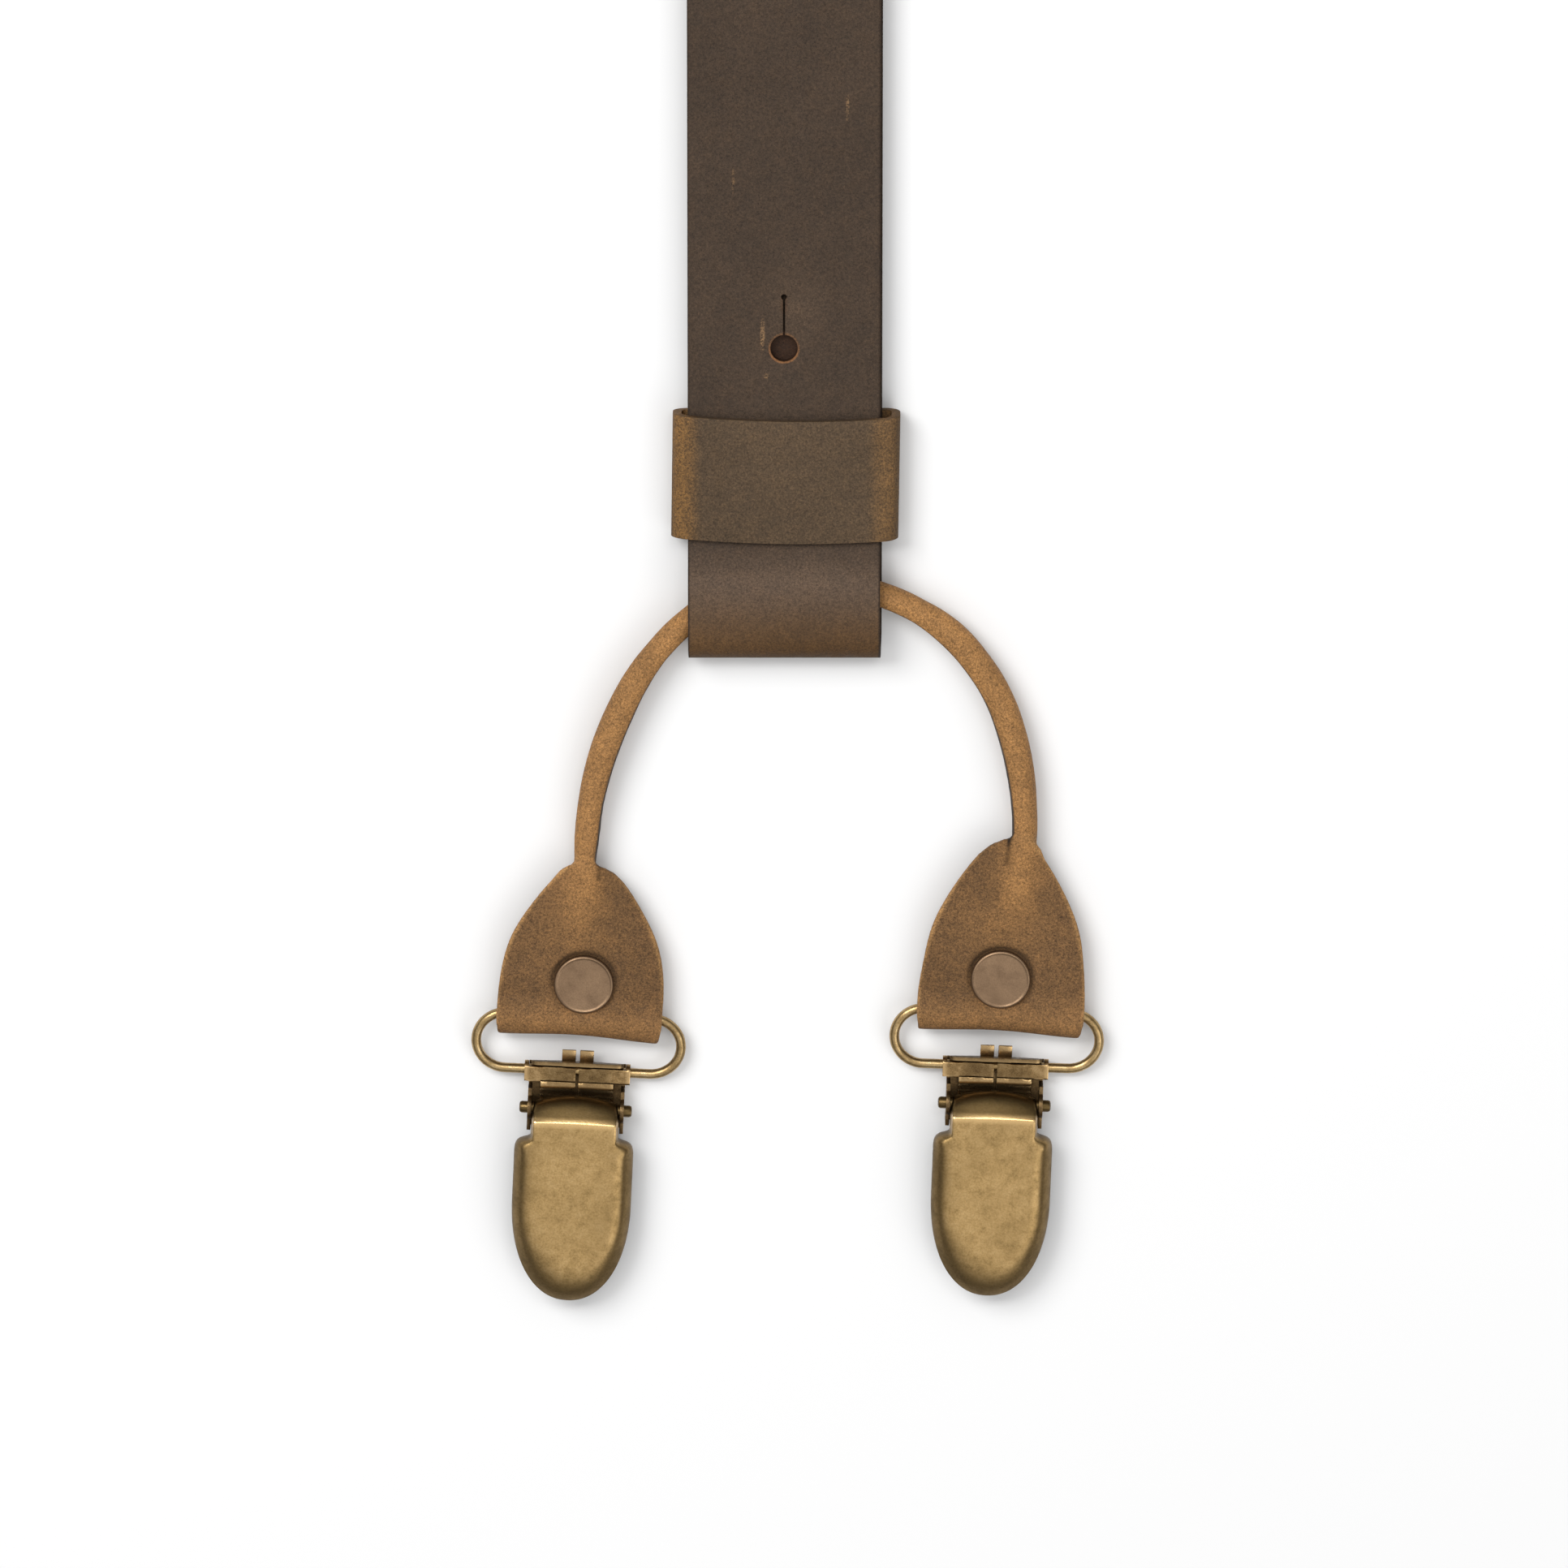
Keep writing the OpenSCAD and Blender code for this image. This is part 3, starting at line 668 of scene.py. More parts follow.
def make_strap(e):
    path = strap_path(e)
    columns = [-1, -0.94, -0.3, 0.3, 0.94, 1]
    fold_start = 13
    ob = strip(f"strap_{e}", path, columns, lambda i, y: STRAP_W / 2,
               lambda i, y: 0.35 * (1 - fade_in((i - fold_start) / 20)))
    apply_modifier(ob, "SOLIDIFY", thickness=STRAP_T, offset=0, use_even_offset=True)
    holes = 2 if e == "back" else 4
    for i in range(holes):
        punch(ob, stud_hole_cutter(HOLE_AT + i * HOLE_PITCH, FRONT_MID if i < 2 else 1.0))
    bevel(ob, 0.3, 3, 50)
    return ob


for e in ENDS:
    strap = make_strap(e)
    if e != "back":  # the two front straps are cut to meet on the centre line
        side = -1 if e == "right" else 1
        local = END[e].inverted()
        edit(strap)
        select_whole()
        plane_at = local @ Vector((side * -0.0001, 0, 0))
        plane_normal = (local.to_3x3() @ Vector((side, 0, 0))).normalized()
        bpy.ops.mesh.bisect(plane_co=plane_at, plane_no=plane_normal, use_fill=True, clear_outer=True)
        select_whole()
        low = local @ Vector((0, -LAP * MM, 0))
        low_normal = (local.to_3x3() @ Vector((0, -1, 0))).normalized()
        bpy.ops.mesh.bisect(plane_co=low, plane_no=low_normal, use_fill=True, clear_outer=True)
        object_mode()
    smooth(strap)
    keep_place(strap)
    hand_out(strap, [(f"strap_{e}", END[e], "straps", "strap_leather", [f"{e}_strap"])], strap_leather)

# %% [markdown]
# ## Keepers
# The keeper is a closed band of thinner leather, pulled tight round both
# layers. It starts as a box without ends. Its long edges are bevelled round,
# its middle sags a little down the strap, and its wall is made by Solidify.

# %% Keeper
def select_faces(ob, test):
    """Select the faces whose centre and normal pass the test, in edit mode."""
    edit(ob)
    bpy.ops.mesh.select_all(action="DESELECT")
    bpy.ops.mesh.select_mode(type="FACE")
    object_mode()
    for f in ob.data.polygons:
        f.select = test(f.center, f.normal)
    bpy.ops.object.mode_set(mode="EDIT")


def select_edges(ob, test):
    """Select the edges whose two ends pass the test, in edit mode."""
    edit(ob)
    bpy.ops.mesh.select_all(action="DESELECT")
    bpy.ops.mesh.select_mode(type="EDGE")
    object_mode()
    vertices = ob.data.vertices
    for edge in ob.data.edges:
        a, b = (vertices[i].co for i in edge.vertices)
        edge.select = test(a, b)
    bpy.ops.object.mode_set(mode="EDIT")


KEEPER_LOW, KEEPER_HIGH = (TO_END @ Vector(corner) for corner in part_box("back_keeper"))
KEEPER_T = 1.6
deselect_all()
centre = (KEEPER_LOW + KEEPER_HIGH) / 2 + Vector((0.3, -0.25, 0))
size = KEEPER_HIGH - KEEPER_LOW - Vector((0, 0.5, 0))
bpy.ops.mesh.primitive_cube_add(size=1, location=centre, scale=size)
keeper = bpy.context.object
bpy.ops.object.transform_apply(location=True, rotation=True, scale=True)
select_faces(keeper, lambda c, n: abs(n.y) > 0.9)
bpy.ops.mesh.delete(type="ONLY_FACE")
select_edges(keeper, lambda a, b: abs(a.y - b.y) > 1)
bpy.ops.mesh.bevel(offset=2.6, segments=8, affect="EDGES")
select_whole()
bpy.ops.mesh.subdivide(number_cuts=5)
face_outwards()
for v in keeper.data.vertices:
    high = (v.co.z - KEEPER_LOW.z) / size.z
    along = (v.co.x - centre.x) / (size.x / 2)
    v.co.y -= 0.9 * high * (1 - along ** 2) + 0.25 * along * high
    v.co.x += 0.35 * (v.co.y - centre.y) / size.y
apply_modifier(keeper, "SOLIDIFY", thickness=KEEPER_T, offset=-1, use_even_offset=True)
bevel(keeper, 0.35, 3, 60)
smooth(keeper)
keep_place(keeper)
keepers = [(f"keeper_{e}", END[e], f"{e}_keeper", "keeper_leather", [f"{e}_keeper"]) for e in ENDS]
hand_out(keeper, keepers, keeper_leather)

# %% [markdown]
# ## Yokes
# A yoke is cut from one piece of leather: its middle is rolled into a cord,
# glued along a seam on its inner side, and its two ends stay flat as tabs that
# fold back over the clip's wire. The cord is a round tube along its route and
# each tab is a strip extruded round the wire. A voxel remesh melts them into
# one skin, so the roll opens into the tab without a line.

# %% Route of the cord and outline of the tabs
CORD = [(-37.4, -50, 4.6), (-37, -45, 4.6), (-36.5, -40, 4.4), (-36, -34, 4.3), (-35.3, -28, 4.4),
        (-34, -22, 4.5), (-32.3, -16.5, 4.6), (-30, -10.8, 4.7), (-27, -4.8, 4.75), (-23, 1, 4.75),
        (-17.8, 6.4, 4.75), (-12, 10.4, 4.75), (-6, 12.6, 4.75), (0, 13.3, 4.75), (6, 13.4, 4.75),
        (12, 13, 4.75), (18, 11.5, 4.75), (24.5, 8.5, 4.75), (30.3, 4.3, 4.75), (35.2, -1.3, 4.75),
        (39, -7.6, 4.7), (41.5, -14.5, 4.6), (43.1, -21.5, 4.5), (43.9, -28.5, 4.4), (44, -34, 4.3),
        (43.4, -40, 4.4), (42.6, -45, 4.6), (41.8, -50, 4.6)]
CORD_R = 2.5
TABS = [{"at": (-38, -72.1), "turn": -4.2, "h": 34.0, "lean": -0.8},
        {"at": (39.6, -71.2), "turn": -3.6, "h": 38.0, "lean": 1.3}]
TAB_W, LEAF_T, FOLD_Y, FOLD_Z = 31.0, 1.7, 3.3, 3.4
for tab in TABS:
    tab["matrix"] = Matrix.Translation((*tab["at"], 0)) @ Matrix.Rotation(math.radians(tab["turn"]), 4, "Z")
length = sum((Vector(b) - Vector(a)).length for a, b in zip(CORD[3:-3], CORD[4:-2]))
print("cord between the tabs:", round(length), "mm")


def tab_half(y, h):
    """Half the tab's width: straight sides that close in an arc on the cord."""
    low, w = 6, TAB_W / 2
    d = w - CORD_R
    radius = (d * d + (h - low) ** 2) / (2 * d)
    return w if y < low else w - radius + math.sqrt(max(radius ** 2 - (min(y, h) - low) ** 2, 0))


def swell(x, y):
    """The cord is fuller where it is free than under the strap or at a tab."""
    return 1 + 0.16 * fade_in((abs(x) - 24) / 5) * fade_in((y + 32) / 16)


# %% Rolling the cord
def cord_tube():
    curve = bpy.data.curves.new("cord_route", "CURVE")
    curve.dimensions = "3D"
    curve.bevel_depth = CORD_R
    curve.bevel_resolution = 6
    curve.use_fill_caps = True
    spline = curve.splines.new("BEZIER")
    spline.resolution_u = 5
    spline.bezier_points.add(len(CORD) - 1)
    for i, (point, at) in enumerate(zip(spline.bezier_points, CORD)):
        point.co = at
        point.handle_left_type = point.handle_right_type = "AUTO"
        point.radius = min(1, 0.5 + 0.17 * min(i, len(CORD) - 1 - i)) * swell(at[0], at[1])
    ob = bpy.data.objects.new("cord_route", curve)
    bpy.context.collection.objects.link(ob)
    pick(ob)
    bpy.ops.object.convert(target="MESH")
    return bpy.context.object


# %% Folding a tab
def ridge(x, y, reach=3.1):
    """How far the roll still lifts the front leaf at a point of the end's frame."""
    if y > -30:
        return 0
    side = CORD[:5] if x < 0 else CORD[-5:]
    (x0, y0, _), (x1, y1, _) = sorted(side, key=lambda p: abs(p[1] - y))[:2]
    mid = x0 + (x1 - x0) * (y - y0) / (y1 - y0) if y > -50 else side[0 if x < 0 else -1][0]
    fade = fade_in((y + 61) / 22)
    return 1.25 * fade * math.exp(-((x - mid) / (reach + 1.5 * (1 - fade))) ** 2)


def make_tab(tab):
    h = tab["h"]
    rows = int(h - 8)
    front = [(h - 0.4 - i * (h - 0.4 - 8) / rows, FOLD_Z + 1.2) for i in range(rows + 1)]
    front += ramp_path((7.2, FOLD_Z + 1.2), (FOLD_Y + 0.4, FOLD_Z + 2.35), 6)
    around = arc_path((FOLD_Y, FOLD_Z), 2.4, 92, 268, 18)
    back = ramp_path((FOLD_Y + 0.4, FOLD_Z - 2.35), (7.2, FOLD_Z - 1.2), 6)
    back += [(7.2 + i * (h - 4 - 7.2) / 12, FOLD_Z - 1.2) for i in range(1, 13)]
    path = front + around + back
    turn = len(front) + 9
    columns = [-1 + i / 12 for i in range(25)]

    def half(i, y):
        wave = 0.1 * math.sin(0.33 * y + h) + 0.25 * math.exp(-((y - 19) / 5) ** 2)
        pinch = 0.45 * math.exp(-((y - 1.0) / 1.6) ** 2)
        if i > turn:
            return tab_half(y + 3.6 * max(0, y) / h, h) - 0.35 + wave - pinch
        return (tab_half(y, h) - 0.15) * (1 - 0.55 * fade_in((y - h + 2.2) / 2.2)) + wave - pinch

    def lean(i, y):
        return 1.3 * max(0, y) / h if i > turn else tab["lean"] * fade_in((y - h + 5) / 5)

    ob = strip("tab", path, columns, half, lean)
    for v in ob.data.vertices:
        bow = math.exp(-((v.co.y - 1) / 3) ** 2)
        v.co.y += bow * (0.32 * math.cos(v.co.x * 0.2) - 0.3)
        at = tab["matrix"] @ v.co
        if v.co.z > FOLD_Z + 0.9:
            v.co.z += ridge(at.x, at.y)
            cup = math.exp(-((v.co.x ** 2 + (v.co.y - 10.4) ** 2) / 60))
            v.co.z += 0.25 * (1 - cup) * fade_in((v.co.y - 6) / 5)
    apply_modifier(ob, "SOLIDIFY", thickness=LEAF_T, offset=0, use_even_offset=True)
    ob.data.transform(tab["matrix"])
    return ob


# %% Melting the yoke into one skin
yoke = join_all([cord_tube()] + [make_tab(tab) for tab in TABS], "yoke")
edit(yoke)
select_whole()
bpy.ops.mesh.remove_doubles(threshold=0.001)
object_mode()
apply_modifier(yoke, "REMESH", mode="VOXEL", voxel_size=0.42, use_smooth_shade=True)
apply_modifier(yoke, "SMOOTH", factor=0.5, iterations=4)
print("yoke skin:", len(yoke.data.polygons), "faces")


# %% Where the yoke is pale, raw or dark
def float_attribute(ob, name, values):
    data = ob.data.attributes.new(name, "FLOAT", "POINT")
    data.data.foreach_set("value", values)


def cord_place(p):
    """Distance from the cord's middle, the side's direction and the place along it."""
    best = None
    for i in range(len(CORD) - 1):
        a, b = Vector(CORD[i]), Vector(CORD[i + 1])
        t = min(1, max(0, (p - a).dot(b - a) / (b - a).length_squared))
        q = a + t * (b - a)
        gap = (p - q).length
        if best is None or gap < best[0]:
            inner = Vector((0, 0, 1)).cross(b - a).normalized()
            best = (gap, (p - q), -inner, i + t)
    return best


def yoke_masks(ob):
    pull_and_highlight, rim, seam_and_shade, moves = [], [], [], []
    inverses = [tab["matrix"].inverted() for tab in TABS]
    for v in ob.data.vertices:
        p = v.co
        c = 0 if p.x < 0 else 1
        local = inverses[c] @ p
        h = TABS[c]["h"]
        on_tab = local.y < h + 1
        glow = edge = dark = 0.0
        move = Vector()
        if on_tab and local.z > 0:
            inside = tab_half(max(local.y, 0), h) - abs(local.x)
            edge = 1 - fade_in((inside - 0.1) / 0.75)
            edge *= 1 if local.y > 1.5 else 0.3
            if local.z > FOLD_Z:
                glow = min(0.85, 0.75 * ridge(p.x, p.y, 3.6))
                glow = max(glow, 0.42 * math.exp(-((local.y - 2.5) / 3.2) ** 2))
                glow = max(glow, 0.3 * math.exp(-(((local.x + 2) / 7) ** 2 + ((local.y - 20) / 5) ** 2)))
                # The leather dips round each rivet cap; the dark ring there is painted shade.
                from_cap = math.hypot(local.x - (0.4, -0.4)[c], local.y - 10.4)
                ring = math.exp(-((from_cap - 5.9) / 0.5) ** 2) * fade_in((local.y - 7) / 7)
                dark = 0.85 * ring
                move.z -= 0.35 * math.exp(-((from_cap - 5.4) / 0.9) ** 2)
        if p.y > -42 + 3 * c:
            gap, away, inner, along = cord_place(p)
            if gap > 1.2 and gap < 3.6 and 1 < along < len(CORD) - 2:
                side = away.normalized().dot((inner + Vector((0, 0, 0.12))).normalized())
                free = fade_in((p.y + 40 - 3 * c) / 5)
                glow = max(glow, 0.9 * free)
                seam = fade_in((side - 0.74) / 0.14)
                dark = max(dark, seam * min(1, 0.5 + free))
                move -= away.normalized() * 0.4 * seam * math.exp(-((side - 1) / 0.12) ** 2)
                edge *= 1 - free
        pull_and_highlight.append(glow)
        rim.append(edge)
        seam_and_shade.append(dark)
        moves.append(move)
    for v, move in zip(ob.data.vertices, moves):
        v.co += move
    float_attribute(ob, "pull_and_highlight", pull_and_highlight)
    float_attribute(ob, "rim", rim)
    float_attribute(ob, "seam_and_shade", seam_and_shade)


yoke_masks(yoke)
keep_place(yoke)
yokes = [(f"yoke_{e}", END[e], f"{e}_yoke", "yoke_leather", [f"{e}_yoke"]) for e in ENDS]
hand_out(yoke, yokes, yoke_leather)

# %% [markdown]
# ## Shields
# The shield is pressed from one sheet: a tray with rolled edges whose neck
# curls over the pivot. Its cross-section, two short walls with a rounded
# corner each and a flat top between them, is extruded from the neck to the
# tip and scaled at every step to follow the outline. Each point then drops by
# its distance to the outline, as a pressed sheet rolls over at its rim. The
# other end of the section is spun to make the curl.

# %% Shield section and outline
SHIELD_TOP = (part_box("back_clip1_shield")[1][2] - JOINTS["back_clip1_swing"]["pos_m"][2]) / MM
SKIRT_Z, SHEET_T = 3.2, 0.7
SHIELD_W, NECK_W, NECK_END = 11.0, 8.05, -8.4
TIP_START, TIP_END = -24.0, -43.0
WALL = 0.3  # part of the rise that is an upright wall


def pressed_section():
    """Points (x, z) from -1..1 and 0..1 across the sheet."""
    across = (1.0, 0.975, 0.95, 0.92, 0.88, 0.84, 0.79, 0.73, 0.66, 0.5, 0.3, 0.1)
    right = [(1.0, 0.0)] + [(x, WALL) for x in across]
    return [(-x, z) for x, z in right] + right[::-1]


def shield_stations():
    """(y, half width) from the neck's root to the tip."""
    out = [(NECK_END, NECK_W), (-9.4, NECK_W), (-10.4, NECK_W), (-11.3, 8.06), (-11.6, 8.15), (-11.8, 8.5),
           (-11.95, 9.0), (-12.1, 9.5), (-12.3, 10.0), (-12.65, 10.45), (-13.1, 10.75), (-13.7, 10.93),
           (-14.4, 11.0), (-16, 11.0), (-18.5, 11.0), (-21, 11.0)]
    for i in range(31):
        a = math.radians(90 * i / 30)
        y = TIP_START + (TIP_END - TIP_START) * math.sin(a) ** 0.93
        out.append((y, max(SHIELD_W * math.cos(a) ** 0.93, 0.02)))
    return out


def from_outline(x, y):
    """Distance from a point of the sheet to its outline, in millimetres."""
    best = 99.0
    for (y0, w0), (y1, w1) in zip(stations, stations[1:]):
        along = Vector((w1 - w0, y1 - y0))
        t = (Vector((abs(x) - w0, y - y0)).dot(along)) / along.length_squared
        t = min(1, max(0, t))
        best = min(best, math.hypot(abs(x) - w0 - t * along.x, y - y0 - t * along.y))
    return best


def roll_at(y):
    """Width of the rounded edge: crisp at the neck, broad on the body, broadest at the tip."""
    return 0.6 + 3.4 * fade_in((-11.4 - y) / 4.0) + 3.4 * fade_in((-28 - y) / 12)


# %% Pressing the shield
section, stations = pressed_section(), shield_stations()
RISE = SHIELD_TOP - SKIRT_Z
shield = first_row("shield", [(x * stations[0][1], stations[0][0], SKIRT_Z + z * RISE) for x, z in section])
bpy.ops.mesh.select_mode(type="EDGE")
select_whole()
for (y0, w0), (y1, w1) in zip(stations, stations[1:]):
    bpy.ops.mesh.extrude_region_move(TRANSFORM_OT_translate={"value": (0, y1 - y0, 0)})
    bpy.ops.transform.resize(value=(w1 / w0, 1, 1), center_override=(0, y1, SKIRT_Z))
object_mode()
for v in shield.data.vertices:
    if v.co.z > SKIRT_Z + 0.5 * WALL * RISE:
        reach = min(1, from_outline(v.co.x, v.co.y) / roll_at(v.co.y))
        v.co.z = SKIRT_Z + RISE * (WALL + (1 - WALL) * (1 - (1 - reach) ** 2.7))

# %% Curling the neck
CURL_R = 4.3
select_edges(shield, lambda a, b: abs(a.y - NECK_END) < 1e-3 and abs(b.y - NECK_END) < 1e-3)
bpy.ops.mesh.spin(steps=24, angle=math.radians(100), axis=(1, 0, 0),
                  center=(0, NECK_END, SHIELD_TOP - CURL_R))
select_whole()
bpy.ops.mesh.remove_doubles(threshold=0.03)
face_outwards()
for v in shield.data.vertices:  # a crisp bend starts the curl, and its end is cut as a low arch
    if v.co.y > NECK_END:
        reach = (v.co.y - NECK_END) / CURL_R
        v.co.z -= 0.62 * CURL_R * (math.hypot(reach, 0.05) - 0.05) * max(0, 1 - reach)
        v.co.y -= 1.5 * (v.co.x / NECK_W) ** 2 * reach
print("curl reaches y =", round(max(v.co.y for v in shield.data.vertices), 2))
apply_modifier(shield, "SOLIDIFY", thickness=SHEET_T, offset=-1)
bevel(shield, 0.12, 2, 60)

# %% Shield pins
PIVOT = Vector((0, -6.6, 2.7))
for side in (-1, 1):
    deselect_all()
    bpy.ops.mesh.primitive_cylinder_add(vertices=24, radius=1.1, depth=2.7, rotation=(0, math.pi / 2, 0),
                                        location=PIVOT + Vector((side * 9.05, 0, 0)))
    pin = bpy.context.object
    bpy.ops.object.transform_apply(location=True, rotation=True, scale=True)
    select_faces(pin, lambda c, n: n.x * side > 0.9)
    bpy.ops.mesh.bevel(offset=0.5, segments=2, affect="EDGES")
    object_mode()
    shield.select_set(True)
    bpy.context.view_layer.objects.active = shield
    bpy.ops.object.join()
smooth(shield, 40)
keep_place(shield)
# Painted shade darkens the rolled edges, the tip, the neck's sides and the curl, and a painted highlight
# brightens a thin band where the curl bends away from the flat top.
shade, shine = [], []
for v in shield.data.vertices:
    if v.co.y < -11.2:
        shade.append(0.74 * (1 - min(1, from_outline(v.co.x, v.co.y) / (1.15 * roll_at(v.co.y)))) ** 1.4)
    else:
        curl = fade_in((v.co.y + 8.1) / 0.9)
        shade.append(min(0.85, 0.25 * fade_in(abs(v.co.x) - 7.4) + 0.8 * curl))
    shine.append(0.85 * math.exp(-((v.co.y + 8.2) / 0.42) ** 2) if v.co.z > SHIELD_TOP - 0.9 else 0)
float_attribute(shield, "rim", shade)
float_attribute(shield, "pull_and_highlight", shine)
hand_out(shield, clip_copies("shield", "lever", "shield_brass", "shield"), shield_brass)

# %% [markdown]
# ## Hinge sleeves and grips
# The sleeve is one folded sheet. Its wings wrap the wire's lower bar, its
# stem drops behind the shield's curl to the floor of the clip, and its two
# tongues pass through the flange and stop it slipping out. A slit runs down
# its middle. Rubbed corners are bright and the hollows stay dark, and the stem
# is painted lighter, as painted light against its shade. The grip inside the
# shield is a ribbed plastic pad with the shield's own outline.

# %% Hinge sleeve
SLEEVE_Z, SLEEVE_T, STEM_W, WING_W = 1.3, 0.65, 6.7, 9.75
STEM_Z = -1.05  # height of the stem where it lies on the back plate


def box(size, at, rounding=0.12, segments=2):
    deselect_all()
    bpy.ops.mesh.primitive_cube_add(size=1, location=at, scale=size)
    ob = bpy.context.object
    bpy.ops.object.transform_apply(location=True, rotation=True, scale=True)
    apply_modifier(ob, "BEVEL", width=rounding, segments=segments, limit_method="ANGLE")
    return ob


even = [-1, -0.97] + [-0.9 + i / 10 for i in range(19)] + [0.97, 1]
wings = strip("wings", [(0.9 - 0.4 * i, SLEEVE_Z) for i in range(8)], even, lambda i, y: WING_W)
stem_path = [(-1.7, SLEEVE_Z)] + ramp_path((-2.6, SLEEVE_Z), (-5.4, STEM_Z), 8) + [(-9, STEM_Z)]
stem = strip("stem", stem_path, even, lambda i, y: STEM_W)
for sheet in (wings, stem):
    apply_modifier(sheet, "SOLIDIFY", thickness=SLEEVE_T, offset=0, use_even_offset=True)
    edit(sheet)
    face_outwards()
    punch(sheet, [box((0.6, 14, 6), (0, -4.0, 0), 0.05)])
parts = [wings, stem]
for side in (-1, 1):
    deselect_all()
    bpy.ops.mesh.primitive_cylinder_add(vertices=32, radius=1.6, depth=0.8, rotation=(0, math.pi / 2, 0),
                                        location=(side * 9.35, 0, 0))
    parts.append(bpy.context.object)
    bpy.ops.object.transform_apply(location=True, rotation=True, scale=True)
    tongue = box((2.55, 3.4, SLEEVE_T), (side * 1.65, 2.75, SLEEVE_Z), 0.1)
    select_edges(tongue, lambda a, b: abs(a.z - b.z) > 0.3 and a.y > 4 and a.x * side > 2.5)
    bpy.ops.mesh.bevel(offset=0.9, segments=5, affect="EDGES")
    object_mode()
    for v in tongue.data.vertices:
        v.co.z += 0.22 * max(0, v.co.y - 2.6) ** 1.5
    parts.append(tongue)
sleeve = join_all(parts, "sleeve")
print("sleeve faces:", len(sleeve.data.polygons))
bevel(sleeve, 0.14, 2, 50)
smooth(sleeve, 40)
keep_place(sleeve)
# The bright wing ends, tongue tips and stem edges are rubbed brass; the lighter stem below the bend is painted
# light, against its shade.
dark, bright = [], []
for v in sleeve.data.vertices:
    x, y, z = v.co
    hollow = (1 - fade_in((abs(x) - 5.4) / 0.9)) * (1 if y < 1.6 else 0)
    on_wing = abs(x) > 9.4 or (abs(x) > 6.6 and -2.3 < y < -1.7)
    on_edge = on_wing or y > 3.9 or (6.4 < abs(x) < 6.8 and y < -1.7)
    dark.append((0.35 if y > -1.95 else 0.0) * hollow)
    bright.append(0.55 if on_edge else 0.25 if y < -2.3 else 0.0)
float_attribute(sleeve, "rim", dark)
float_attribute(sleeve, "pull_and_highlight", bright)
hand_out(sleeve, clip_copies("sleeve", "frame", "clip_brass", "retainer"), clip_brass)

# %% Grip
PAD_LOW, PAD_HIGH = 3.0, 5.0
deselect_all()
bpy.ops.mesh.primitive_circle_add(vertices=64, radius=1, fill_type="NGON", location=(0, 0, 0))
grip_pad = bpy.context.object
edit(grip_pad)
select_whole()
bpy.ops.mesh.bisect(plane_co=(0, 0, 0), plane_no=(0, 1, 0), clear_outer=True)
select_whole()
bpy.ops.transform.resize(value=(9.3, 13.6, 1), center_override=(0, 0, 0))
bpy.ops.transform.translate(value=(0, -26, PAD_LOW))
object_mode()
select_edges(grip_pad, lambda a, b: a.y > -26.01 and b.y > -26.01)
bpy.ops.mesh.extrude_region_move(TRANSFORM_OT_translate={"value": (0, 12, 0)})
select_whole()
bpy.ops.mesh.remove_doubles(threshold=0.01)
bpy.ops.mesh.extrude_region_move(TRANSFORM_OT_translate={"value": (0, 0, PAD_HIGH - PAD_LOW)})
face_outwards()
ribs = []
for i in range(6):
    deselect_all()
    bpy.ops.mesh.primitive_cube_add(size=1, location=(0, -36 + 3.2 * i, PAD_LOW),
                                    rotation=(math.radians(45), 0, 0), scale=(40, 0.8, 0.8))
    ribs.append(bpy.context.object)
punch(grip_pad, ribs)
bevel(grip_pad, 0.2, 2, 60)
smooth(grip_pad, 40)
keep_place(grip_pad)
hand_out(grip_pad, clip_copies("grip", "lever", "grip_plastic", "pad"), grip)

# %% [markdown]
# ## Rivet caps
# A double cap rivet shows a flat stamped disc with a thin raised rim. A
# cylinder is rounded at its upper edge, then its face is inset and pressed in.

# %% Rivet cap
CAP_T = (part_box("back_rivet_caps")[1][2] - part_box("back_rivet_caps")[0][2]) / MM
CAP_R = 5.5


def rivet_cap(at):
    """One cap whose underside centre is at a point in millimetres."""
    deselect_all()
    bpy.ops.mesh.primitive_cylinder_add(vertices=64, radius=CAP_R, depth=CAP_T,
                                        location=Vector(at) + Vector((0, 0, CAP_T / 2)))
    cap = bpy.context.object
    bpy.ops.object.transform_apply(location=True, rotation=True, scale=True)
    select_faces(cap, lambda c, n: n.z > 0.9)
    bpy.ops.mesh.bevel(offset=0.42, segments=4, affect="EDGES")
    select_faces(cap, lambda c, n: n.z > 0.99 and c.z > at[2] + CAP_T - 1e-3)
    bpy.ops.mesh.inset(thickness=0.28)
    bpy.ops.transform.translate(value=(0, 0, -0.14))
    bpy.ops.mesh.inset(thickness=0.12)
    object_mode()
    return cap


def cap_places(node):
    """Underside centres of a node's caps, from the connected shells of its mesh."""
    source = cad_node(node)
    deselect_all()
    copy = bpy.data.objects.new("caps_probe", source.data.copy())
    bpy.context.collection.objects.link(copy)
    edit(copy)
    select_whole()
    bpy.ops.mesh.remove_doubles(threshold=1e-6)
    bpy.ops.mesh.separate(type="LOOSE")
    object_mode()
    places = []
    for shell in [o for o in bpy.context.selected_objects if o.name.startswith("caps_probe")]:
        points = [v.co for v in shell.data.vertices]
        places.append(Vector([(min(p[k] for p in points) + max(p[k] for p in points)) / 2 for k in (0, 1)]
                             + [min(p.z for p in points)]))
        bpy.data.objects.remove(shell)
    return places


TO_MM = Matrix.Scale(1 / MM, 4)
for node, body in [(f"{e}_rivet_caps", f"{e}_yoke") for e in ENDS] + [("junction_rivet_caps", "straps")]:
    caps = join_all([rivet_cap(TO_MM @ p) for p in cap_places(node)], node)
    smooth(caps, 30)
    keep_place(caps)
    name = node.replace("rivet_caps", "caps")
    hand_out(caps, [(name, Matrix.Scale(MM, 4), body, "rivet_brass", [node])], rivet_copper)

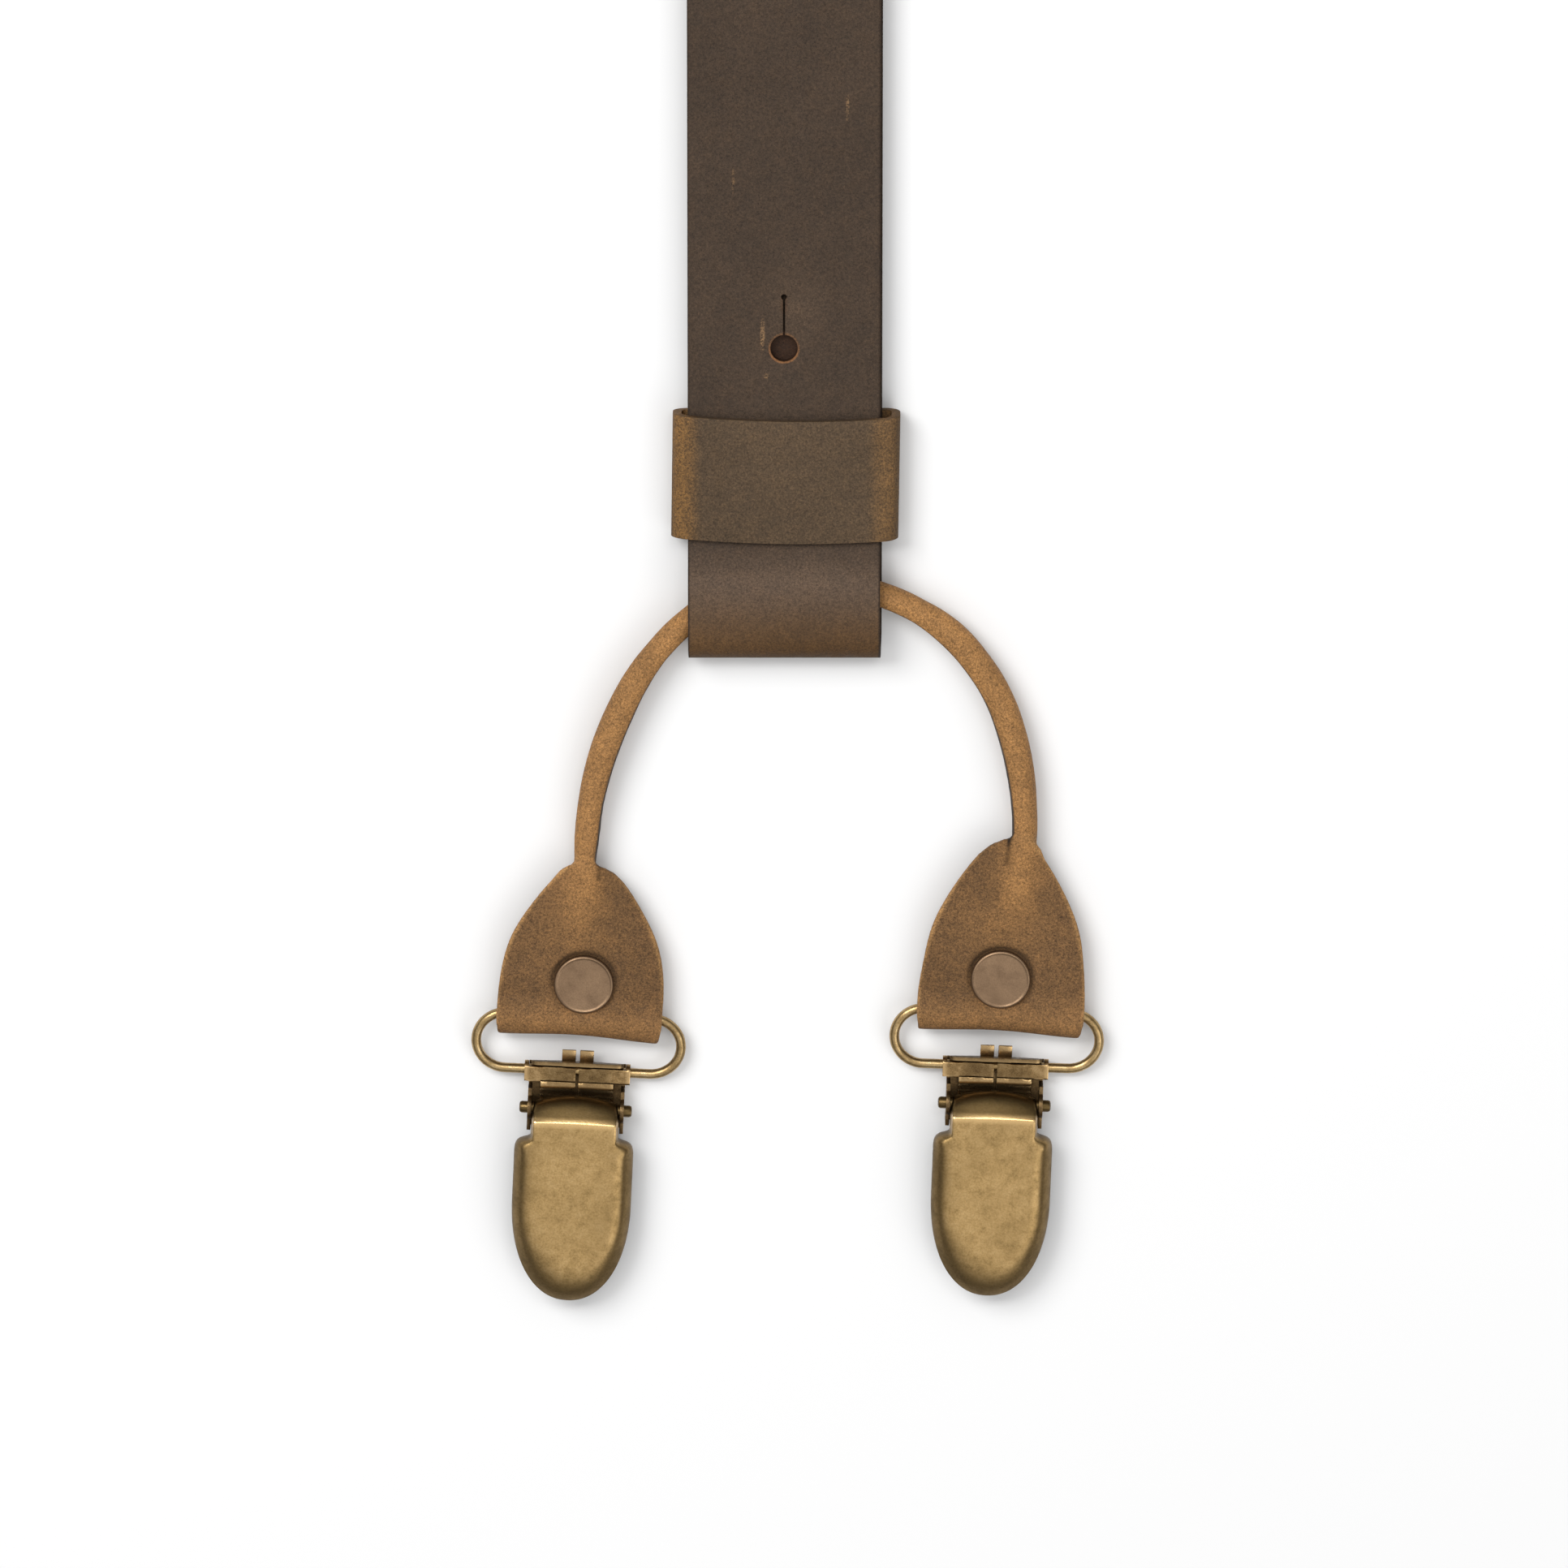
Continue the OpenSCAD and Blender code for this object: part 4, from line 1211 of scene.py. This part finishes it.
# %% [markdown]
# ## Plates and patches
# The clip's back plate and the two leather pieces of the junction keep the
# imported shape. Their faces are merged and their sharp edges rubbed round, and
# the result takes the place of the imported piece. The plate's flange is also
# lowered a little, leans back and gets round corners and a painted highlight
# along its upper edge.

# %% Rub down the sharp edges
def merged_copy(node, matrix):
    """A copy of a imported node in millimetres, its loose triangles made one skin."""
    source = cad_node(node)
    piece = bpy.data.objects.new(node + "_skin", source.data.copy())
    bpy.context.collection.objects.link(piece)
    piece.data.transform(matrix @ source.matrix_world)
    edit(piece)
    select_whole()
    bpy.ops.mesh.remove_doubles(threshold=0.001)
    bpy.ops.mesh.dissolve_limited(angle_limit=math.radians(1))
    face_outwards()
    return piece


def rub(piece, width):
    bevel(piece, width, 3, 40)
    smooth(piece)
    keep_place(piece)


FLANGE_Y, FLANGE_Z = 1.5, 1.9  # the flange lies beyond this y; above this z it is lowered
plate = merged_copy("back_clip1_back_plate", CLIP["back", 1].inverted())
flange_top = max(v.co.z for v in plate.data.vertices if v.co.y > FLANGE_Y)
select_edges(plate, lambda a, b: min(a.z, b.z) > flange_top - 0.01 and min(a.y, b.y) > FLANGE_Y
             and abs(a.y - b.y) > 0.3)
bpy.ops.mesh.bevel(offset=1.3, segments=6, affect="EDGES")
object_mode()
for v in plate.data.vertices:  # the flange leans and ends a little below the sleeve's tongues
    if v.co.y > FLANGE_Y and v.co.z > FLANGE_Z:
        v.co.z = FLANGE_Z + 0.62 * (v.co.z - FLANGE_Z)
    if v.co.y > FLANGE_Y:
        v.co.y -= 1.4 * min(1, max(0, (2.2 - v.co.z) / 4.3))
rub(plate, 0.2)
flange_top = max(v.co.z for v in plate.data.vertices if v.co.y > 0.9)
# Painted highlight along the top of the flange's front edge.
bright, dark = [], []
for v in plate.data.vertices:
    x, y, z = v.co
    bright.append(0.6 * fade_in((z - flange_top + 0.45) / 0.3) if 0.9 < y < 1.85 else 0.0)
    dark.append(0.25 if y > 1.85 else 0.4 if y < 0.9 and z > 0 and abs(x) < 8.6 else 0.0)
float_attribute(plate, "pull_and_highlight", bright)
float_attribute(plate, "rim", dark)
hand_out(plate, clip_copies("plate", "frame", "clip_brass", "back_plate"), plate_brass)

# %% Junction leather
for node, name, width in (("junction_patch", "patch", 0.4), ("junction_lining", "lining", 0.3)):
    leaf = merged_copy(node, TO_MM)
    rub(leaf, width)
    hand_out(leaf, [(name, Matrix.Scale(MM, 4), "straps", "patch_leather", [node])], patch_leather)
